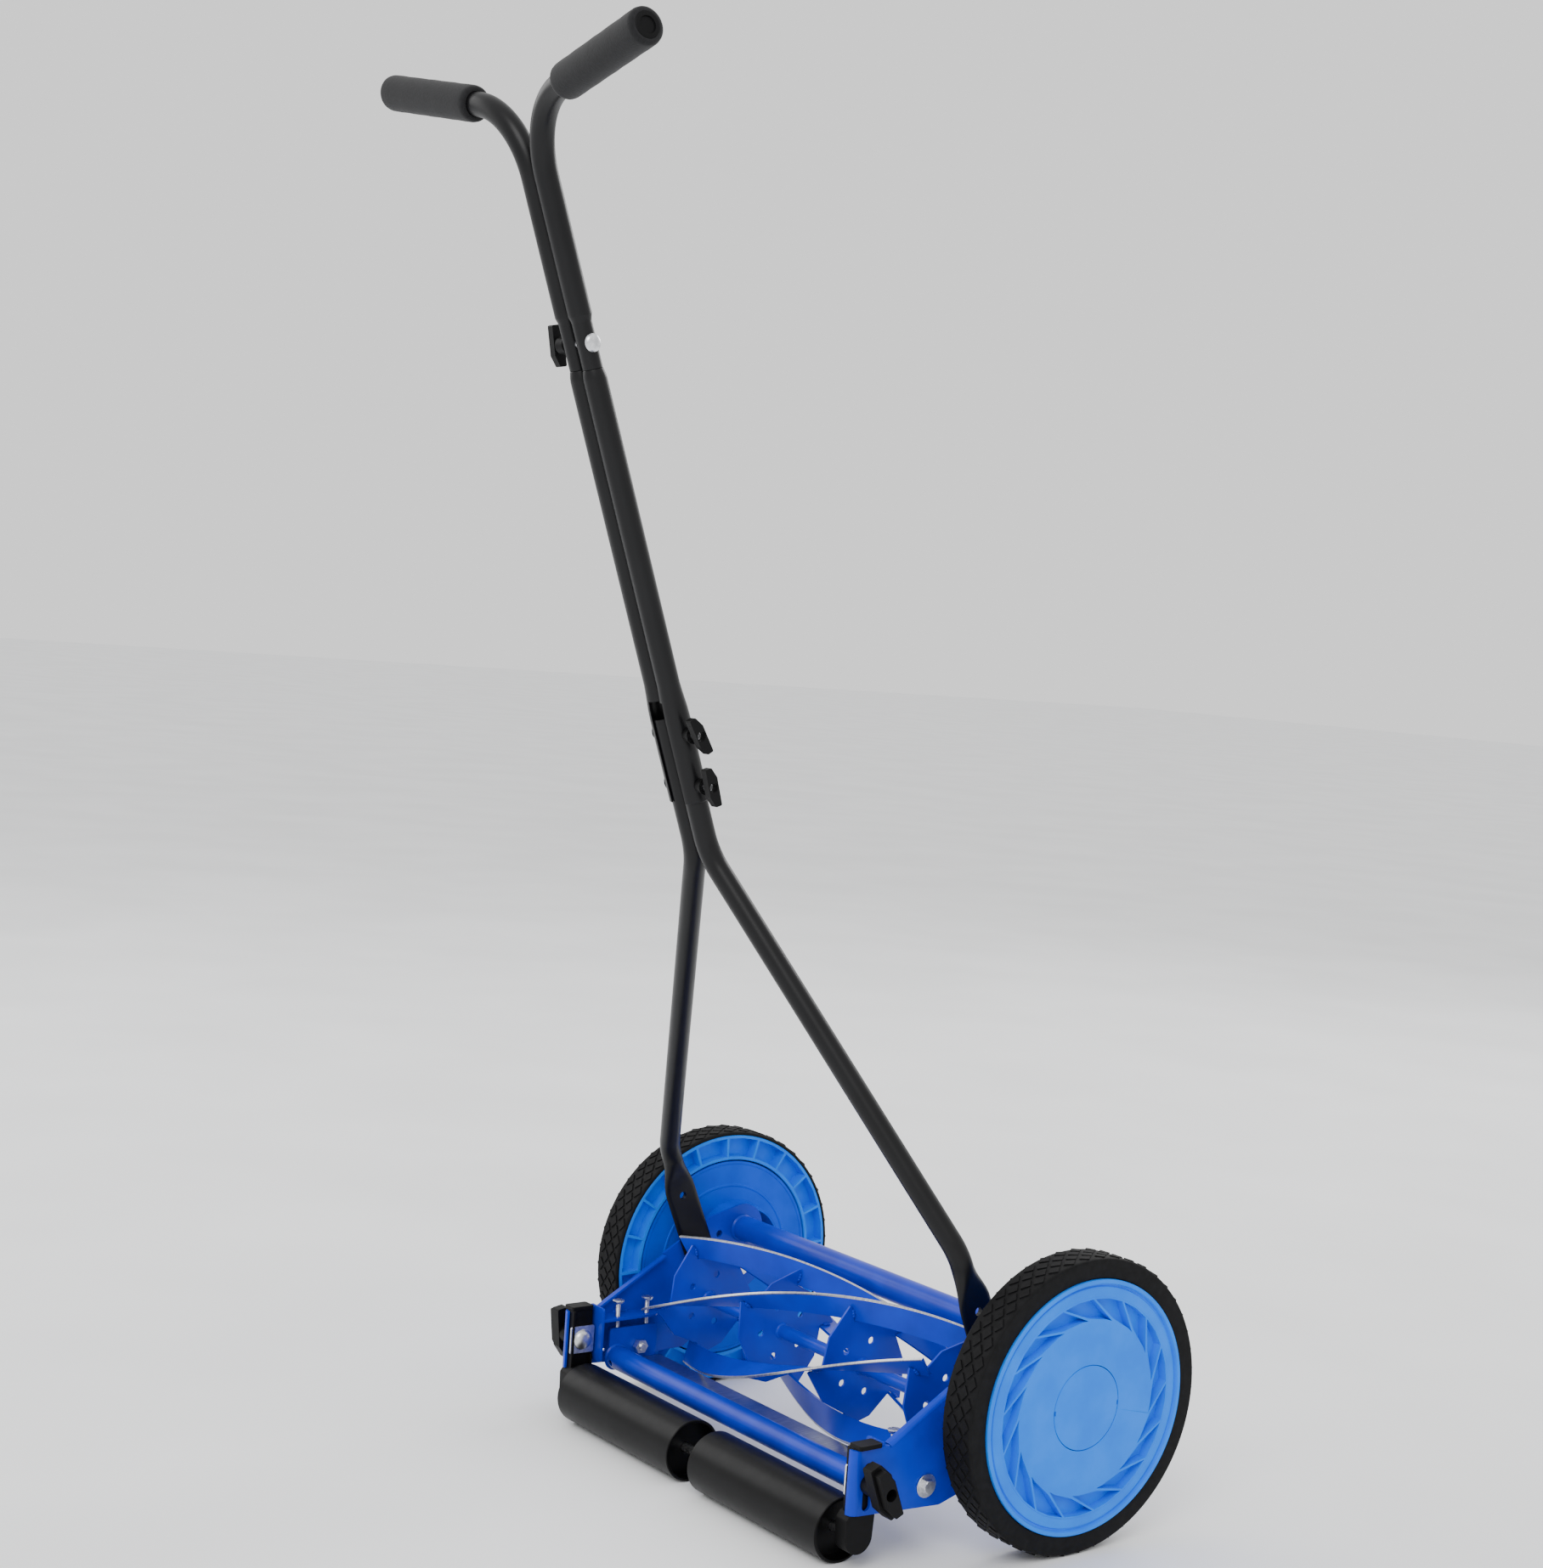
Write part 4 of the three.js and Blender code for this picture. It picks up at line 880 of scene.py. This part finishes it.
def adjusterScrew(place, y):
    x = sidePlate["screwX"]
    thread = [(0, 0)]
    for i in range(22):
        thread += [(i + 0.1, 2.15), (i + 0.5, 2.5), (i + 0.9, 2.15)]
    stem = turned("screwStem", [*thread, (23.4, 2.3), (23.4, 0)], at(x, y, 82.8), zAxis, 20, closed=False)
    head = turned("screwHead", [(0, 0), (0, 4.4), (0.6, 4.9), (2.4, 5.7), (3, 5.6), (3.4, 5), (3.5, 0)],
                  at(x, y, 106), zAxis, 40, closed=False)
    cutAway(head, slab("screwSlot", x - 7.5, x + 7.5, y - 0.6, y + 0.6, 108.2, 112))
    return joinUp(f"screw{place}Right", smooth(stem, 60), smooth(head))


for place, y in zip(("rear", "front"), sidePlate["screwRows"]):
    fitPair(adjusterScrew(place.title(), y), zinc, "screw_" + place + "_{side}", "zinc",
            "adjuster_screw_" + place + "_{side}")
print("cutter bar made")

# roller carriage: moulded brackets clamped in the slots, a rod and two pipe rollers
carriage = {"y": -184.5, "z": 27.6, "boltZ": 75, "knobZ": 74, "thin": 211, "thick": 204.7, "outer": 219.7,
            "rear": -193.2, "top": 103}


def rollerBracket():
    thin, outer, rear, top = (carriage[key] for key in ("thin", "outer", "rear", "top"))
    upper = plate("rollerBracketRight", rounded([(rear, 46), (-168.5, 46), (-170.5, top, 2), (rear, top, 2)]),
                  thin, outer)
    lower = plate("bracketFoot", rounded([(-197.5, 44, 3), *arc(-183.5, carriage["z"], 13.6, 180, 360, 16),
                                          (-168.5, 50, 3), (-193, 50, 3)]), carriage["thick"], outer)
    ribs = [slab("bracketRib", thin - 3.2, thin + 1, rear, -190.6, 44, top),
            slab("bracketRib", thin - 3.2, thin + 1, -172.4, -169.9, 44, 60)]
    hook = cutSheet("bracketHook", [at(x, y, top - 0.6) for x, y in rounded(
        [(thin - 1, rear, 2), (225.3, rear, 2.5), (225.3, -170, 2.5), (thin - 1, -170, 2)])],
        zAxis * 3.9 * mm)
    for piece in (upper, lower, *ribs, hook):
        soften(piece, 0.8, 3, 40)
    return joinUp("rollerBracketRight", upper, lower, *ribs, hook)


fitPair(rollerBracket(), blackNylon, "roller_carriage", "black_plastic", "roller_bracket_{side}")


# a domed bolt head on the side that along points to
def domedBolt(name, head, along, reach, radius, height):
    dome = [(0, 3.4), (0, radius - 0.2), (-0.5, radius), (-0.9, radius - 0.2)]
    for step in range(1, 7):
        turn = math.radians(15 * step)
        dome.append((-0.9 - (height - 0.9) * math.sin(turn), (radius - 0.5) * math.cos(turn)))
    dome[-1] = (-height, 0)
    profile = [(reach, 0), (reach, 3), (reach - 0.6, 3.5), (0.2, 3.5), *dome]
    return smooth(turned(name, profile, head, along, 40, closed=False), 40)


def carriageBolt():
    seat = carriage["thin"] - 2.4
    head = at(seat, sidePlate["slotY"], carriage["boltZ"])
    bolt = domedBolt("carriageBoltRight", head, xAxis, 28, 9.6, 5.2)
    corners = [(-194.4, 62), (-194.4, 88), (-169, 88), (-169, 62)]
    square = plate("squareWasher", rounded(corners, 2), seat - 0.1, seat + 2)
    soften(square, 0.5, 2, 40)
    return joinUp("carriageBoltRight", bolt, square)


fitPair(carriageBolt(), zinc, "roller_carriage", "zinc", "carriage_bolt_{side}")


def rollerRod():
    half = [(218.7, 0), (218.7, 3.6), (218.3, 4), (100, 4)]
    return smooth(turnedX("rollerRod", bothEnds(half),
                          carriage["y"], carriage["z"], 32, closed=False))


fit(rollerRod(), zinc, "roller_carriage", "steel", "roller_rod")


def roller():
    body = turnedX("rollerRight", [
        (15.8, 25.2), (16.2, 25), (27.8, 24.6), (27.8, 4.5), (186.1, 4.5), (186.1, 24.6), (197.7, 25),
        (198.1, 25.2), (198.1, 26.9), (197.4, 27.6), (16.5, 27.6), (15.8, 26.9)],
        carriage["y"], carriage["z"], 96)
    return smooth(body)


fitPair(roller(), blackPipe, "roller_turn_{side}", "black_plastic", "roller_{side}")


# a wing knob: a slanted six-sided bar on a round boss; it faces +x, then is turned and moved
def wingKnob(name, size, x, y, z, side, tilt):
    half, flat, seat = size["length"] / 2, size["width"] / 2, size["boss"]
    tip = seat + size["depth"]
    outline = rounded([(flat, half * 0.45), (flat * 0.35, half), (-flat * 0.75, half), (-flat, -half * 0.45),
                       (-flat * 0.35, -half), (flat * 0.75, -half)], 1.6, 3)
    centre = Vector((0, axleY, 0))
    bar = plate(name, outline, seat, seat + size["depth"] * 0.6)
    front = max(corner.co.x for corner in bar.data.vertices)
    for face in bar.data.polygons:
        face.select = face.normal.x > 0.9 and face.center.x > front - 0.0001
    bpy.ops.object.mode_set(mode="EDIT")
    bpy.ops.mesh.select_mode(type="FACE")
    bpy.ops.mesh.extrude_region_move(TRANSFORM_OT_translate={"value": (size["depth"] * 0.4 * mm, 0, 0)})
    bpy.ops.transform.resize(value=(1, 0.72, 0.86), center_override=centre)
    bpy.ops.mesh.select_mode(type="VERT")
    bpy.ops.object.mode_set(mode="OBJECT")
    cutAway(bar, rod("knobHole", size["hole"], tip - 9, tip + 3, 0, 0, 40))
    soften(bar, 0.7, 3, 40)
    radius = size["bossRadius"]
    boss = turnedX("knobBoss", [(0, 3.9), (0, radius - 0.6), (0.6, radius), (seat + 0.5, radius + 1),
                                (seat + 0.5, 3.9)], 0, 0, 48)
    knob = joinUp(name, bar, smooth(boss))
    if side < 0:
        knob = otherSide(knob, name)
        bpy.data.objects.remove(bpy.data.objects[name])
        knob.name = name
    turnAboutX(knob, -math.radians(tilt), centre)
    knob.location = at(x, y, z) - centre
    return settle(knob)


bracketKnob = {"length": 50, "width": 20, "depth": 18, "boss": 13, "bossRadius": 8, "hole": 5.2}
for side, word, tilt in ((1, "right", 25), (-1, "left", 10)):
    knob = wingKnob("bracketKnob" + word.title(), bracketKnob, side * (sidePlate["outer"] + 0.3),
                    sidePlate["slotY"], carriage["knobZ"], side, tilt)
    fit(knob, blackNylon, "carriage_knob_" + word, "black_plastic", "bracket_knob_" + word)
print("roller carriage made")

# the handle: two fork tubes with flattened ends, two middle tubes, two upper tubes and foam grips
# leans are in degrees back from upright; meet, forkBend, forkTop, joint and corner are distances along it
handle = {"forkLean": 23.4, "stemLean": 20.3, "meet": 460, "stemX": 9.65, "forkX": 213, "radius": 9.5,
          "strapX": 217.2, "strapHalf": 4, "strapWidth": 16.5, "strapLimit": 2.5, "strapHole": 74,
          "forkBend": 127, "forkTop": 578, "sleeve": 507, "joint": 864, "corner": 1062}


# a point so far along the handle from its pivot
def onHandle(along, x):
    lower = min(along, handle["meet"])
    upper = along - lower
    fork, stem = math.radians(handle["forkLean"]), math.radians(handle["stemLean"])
    return at(x, handleLine[0] - lower * math.sin(fork) - upper * math.sin(stem),
              handleLine[1] + lower * math.cos(fork) + upper * math.cos(stem))


stemWay = (onHandle(900, 0) - onHandle(500, 0)).normalized()


# the tube's end, pressed flat by degrees and rounded at its tip: each section is a distance along the
# handle, the middle's x, half the depth, half the width, and how far the flats lie from the middle
def flatEnd():
    radius, x = handle["radius"], handle["strapX"]
    half, width, limit = handle["strapHalf"], handle["strapWidth"], handle["strapLimit"]
    sections = [(117, 213, radius, radius, radius), (113, 213.1, radius, radius, radius),
                (107, 213.8, 8.6, 10.3, 8.2), (101, 215, 7.2, 11.8, 6), (95, 216.2, 5.8, 13.6, 4.2),
                (89, 216.9, 4.6, 15.2, 3), (83, x, half, 16.3, limit)]
    sections += [(along, x, half, width, limit) for along in (76, 40, 0)]
    for turn in (15, 30, 45, 58, 70, 80):
        tip = math.radians(turn)
        sections.append((-width * math.sin(tip), x, half, width * math.cos(tip), limit))
    pick()
    bpy.ops.mesh.primitive_circle_add(vertices=48, radius=mm, location=(0, 0, sections[0][0] * mm))
    strap = settle(named("forkEnd"))
    editAll(strap)
    bpy.ops.transform.resize(value=(sections[0][2], sections[0][3], 1), center_override=(0, 0, 0))
    for last, now in zip(sections, sections[1:]):
        bpy.ops.mesh.extrude_region_move(TRANSFORM_OT_translate={"value": (0, 0, (now[0] - last[0]) * mm)})
        bpy.ops.transform.resize(value=(now[2] / last[2], now[3] / last[3], 1), center_override=(0, 0, 0))
    bpy.ops.mesh.edge_face_add()
    bpy.ops.object.mode_set(mode="OBJECT")
    heights = [section[0] for section in sections]
    for corner in strap.data.vertices:
        near = min(range(len(heights)), key=lambda i: abs(heights[i] - corner.co.z / mm))
        flat = sections[near][4] * mm
        corner.co.x = max(-flat, min(flat, corner.co.x)) + sections[near][1] * mm
    strap.rotation_euler.x = math.radians(handle["forkLean"])
    strap.location = at(0, *handleLine)
    settle(strap)
    holes = [rod("strapHole", 4, 210, 224, *handleLine),
             pin("strapHole", 3.7, 16, onHandle(handle["strapHole"], x))]
    closeUp(strap)
    cutAway(strap, *holes)
    return smooth(strap, 32)


def forkTube():
    line = [onHandle(handle["forkTop"], handle["stemX"]), onHandle(handle["meet"], handle["stemX"]),
            onHandle(handle["forkBend"], handle["forkX"]), onHandle(113, handle["forkX"])]
    tube = bentPipe("forkTubeRight", line, [60, 45], handle["radius"], 48, 12)
    return joinUp("forkTubeRight", smooth(tube, 32), flatEnd())


fitPair(forkTube(), blackCoat, "handle", "black_tube", "fork_tube_{side}")


def middleTube():
    tube = turned("midTubeRight", [
        (0, 10.1), (0, 11), (0.4, 11.3), (72, 11.3), (80, 11), (92, 10), (100, 9.5), (349, 9.5), (352, 9.2),
        (356.5, 8.2), (357, 7.8), (357, 6), (90, 8), (78, 10.1)],
        onHandle(handle["sleeve"], handle["stemX"]), stemWay, 64)
    pick()
    bpy.ops.mesh.primitive_cube_add(size=1, location=onHandle(546, -5.15),
                                    rotation=(math.radians(handle["stemLean"]), 0, 0))
    bpy.ops.transform.resize(value=(30 * mm, 60 * mm, 96 * mm), orient_type="LOCAL")
    window = settle(named("sleeveWindow"))
    cutAway(tube, window)
    return soften(tube, 0.25, 2, 45)


fitPair(middleTube(), blackCoat, "handle", "black_tube", "mid_tube_{side}")

# over the grip's length it runs back by 9 mm and rises by 21.6 mm
grip = {"start": 57, "end": 181, "radius": 14, "bore": 9.8, "back": 9, "rise": 21.6}
gripOut = math.sqrt((grip["end"] - grip["start"]) ** 2 - grip["rise"] ** 2 - grip["back"] ** 2)
gripWay = Vector((gripOut, -grip["back"], grip["rise"])).normalized()


def upperTube():
    x = handle["stemX"]
    bend = onHandle(handle["corner"], x)
    line = [onHandle(handle["joint"] + 42, x), bend, bend + gripWay * 177 * mm]
    tube = bentPipe("upperTubeRight", line, [62], handle["radius"], 48, 18)
    neck = turned("upperNeck", [
        (0, 5.5), (0, 7.6), (0.4, 8), (36, 8), (38, 8.3), (41, 9.2), (42, 9.5), (46, 9.5), (46, 5.5)],
        onHandle(handle["joint"], x), stemWay, 64)
    return joinUp("upperTubeRight", smooth(tube, 32), smooth(neck, 32))


fitPair(upperTube(), blackCoat, "handle", "black_tube", "upper_tube_{side}")


def gripSleeve():
    start, end, radius, bore = grip["start"], grip["end"], grip["radius"], grip["bore"]
    profile = [(start, bore), (start, 11.6), (start + 0.8, 12.8), (start + 2.4, 13.6), (start + 5, radius)]
    for step in range(1, 12):
        along = start + 5 + (end - start - 10) * step / 12
        profile.append((along, radius + 0.12 * math.sin(step * 2.4)))
    profile += [(end - 4.5, radius), (end - 2, 13.5), (end - 0.6, 12.4), (end, 11), (end, bore)]
    piece = turned("gripRight", profile, onHandle(handle["corner"], handle["stemX"]), gripWay, 64)
    return smooth(piece, 50)


right, left = fitPair(gripSleeve(), gripFoam, "handle", "foam_grip", "grip_{side}")


def gripPlug():
    profile = [(170, 0), (170, 8.6), (180, 8.8), (180.4, 9.6), (181, 9.6), (181.4, 9), (181.4, 6.4),
               (180.2, 6), (180.2, 0)]
    corner = onHandle(handle["corner"], handle["stemX"])
    return smooth(turned("gripPlugRight", profile, corner, gripWay, 48, closed=False))


fitPair(gripPlug(), blackNylon, "handle", "black_plastic")

handleKnob = {"length": 38, "width": 15, "depth": 12, "boss": 8, "bossRadius": 6, "hole": 3.9}


def handleFixings():
    for place, along, tilt in (("lower", 521, 20), ("middle", 565, 34)):
        spot = onHandle(along, -21.4)
        bolt = domedBolt(place + "Bolt", spot, xAxis, 56, 7.6, 3.6)
        fit(bolt, zinc, "handle", "zinc", place + "_bolt")
        y, z = (spot.y - axleY) / mm, spot.z / mm
        knob = wingKnob(place + "Knob", handleKnob, 21.2, y, z, 1, tilt)
        fit(knob, blackNylon, "knob_" + place, "black_plastic", place + "_knob")
    spot = onHandle(884, 18.2)
    bolt = domedBolt("upperBolt", spot, -xAxis, 48, 7.2, 3.8)
    fit(bolt, zinc, "handle", "zinc", "upper_bolt")
    y, z = (spot.y - axleY) / mm, spot.z / mm
    knob = wingKnob("upperKnob", handleKnob, -17.95, y, z, -1, 14)
    fit(knob, blackNylon, "knob_upper", "black_plastic", "upper_knob")


handleFixings()
print("handle made")

# the pinions keep their own shape
for side in ("right", "left"):
    bpy.data.objects["pinion_" + side].material_slots[0].material = bareSteel

# floor, light and camera; floorSize is in metres, and each lamp has a place, a width and a power
stageLook = {"floorSize": 60, "world": 1.15, "aim": (0, 0, 0.4),
             "lamps": {"key": ((2.2, -2.6, 3.2), 2.4, 90), "fill": ((-3.0, -1.5, 2.2), 2.5, 40),
                       "rim": ((-1.0, 3.2, 2.6), 2.0, 50)}}


def stage():
    pick()
    bpy.ops.mesh.primitive_plane_add(size=stageLook["floorSize"], location=(0, 0, 0))
    floor = named("floor")
    material, tree, shader, place = newMaterial("pale studio floor", Roughness=0.9)
    blendColours(tree, shader, speckle(tree, place, 400, 2), "#F1F2F3", "#F7F8F9")
    floor.data.materials.append(material)
    world = bpy.data.worlds.new("studio")
    bpy.context.scene.world = world
    world.use_nodes = True
    background = world.node_tree.nodes["Background"]
    background.inputs["Color"].default_value = colour("#FFFFFF")
    background.inputs["Strength"].default_value = stageLook["world"]
    for name, (place, size, power) in stageLook["lamps"].items():
        pick()
        bpy.ops.object.light_add(type="AREA", location=place)
        lamp = bpy.context.object
        lamp.name = name
        lamp.data.shape = "DISK"
        lamp.data.size = size
        lamp.data.energy = power
        aim = Vector(stageLook["aim"]) - Vector(place)
        lamp.rotation_euler = aim.to_track_quat("-Z", "Y").to_euler()


stage()

# angles are in degrees, the distance in metres
shot = {"azimuth": 50.35, "elevation": 6.23, "distance": 2.18667, "height": 500, "roll": 4.37,
        "lens": 55.96, "shift": (-0.0870, 0.0842)}


def camera():
    azimuth, elevation = math.radians(shot["azimuth"]), math.radians(shot["elevation"])
    back = Vector((math.sin(azimuth) * math.cos(elevation), -math.cos(azimuth) * math.cos(elevation),
                   math.sin(elevation)))
    pick()
    bpy.ops.object.camera_add(location=at(0, 0, shot["height"]) + back * shot["distance"])
    view = bpy.context.object
    view.name = "camera"
    view.rotation_mode = "QUATERNION"
    roll = Quaternion(zAxis, math.radians(shot["roll"]))
    view.rotation_quaternion = (-back).to_track_quat("-Z", "Y") @ roll
    view.data.lens = shot["lens"]
    view.data.shift_x, view.data.shift_y = shot["shift"]
    view.data.clip_end = 50
    bpy.context.scene.camera = view


camera()
print("scene complete")
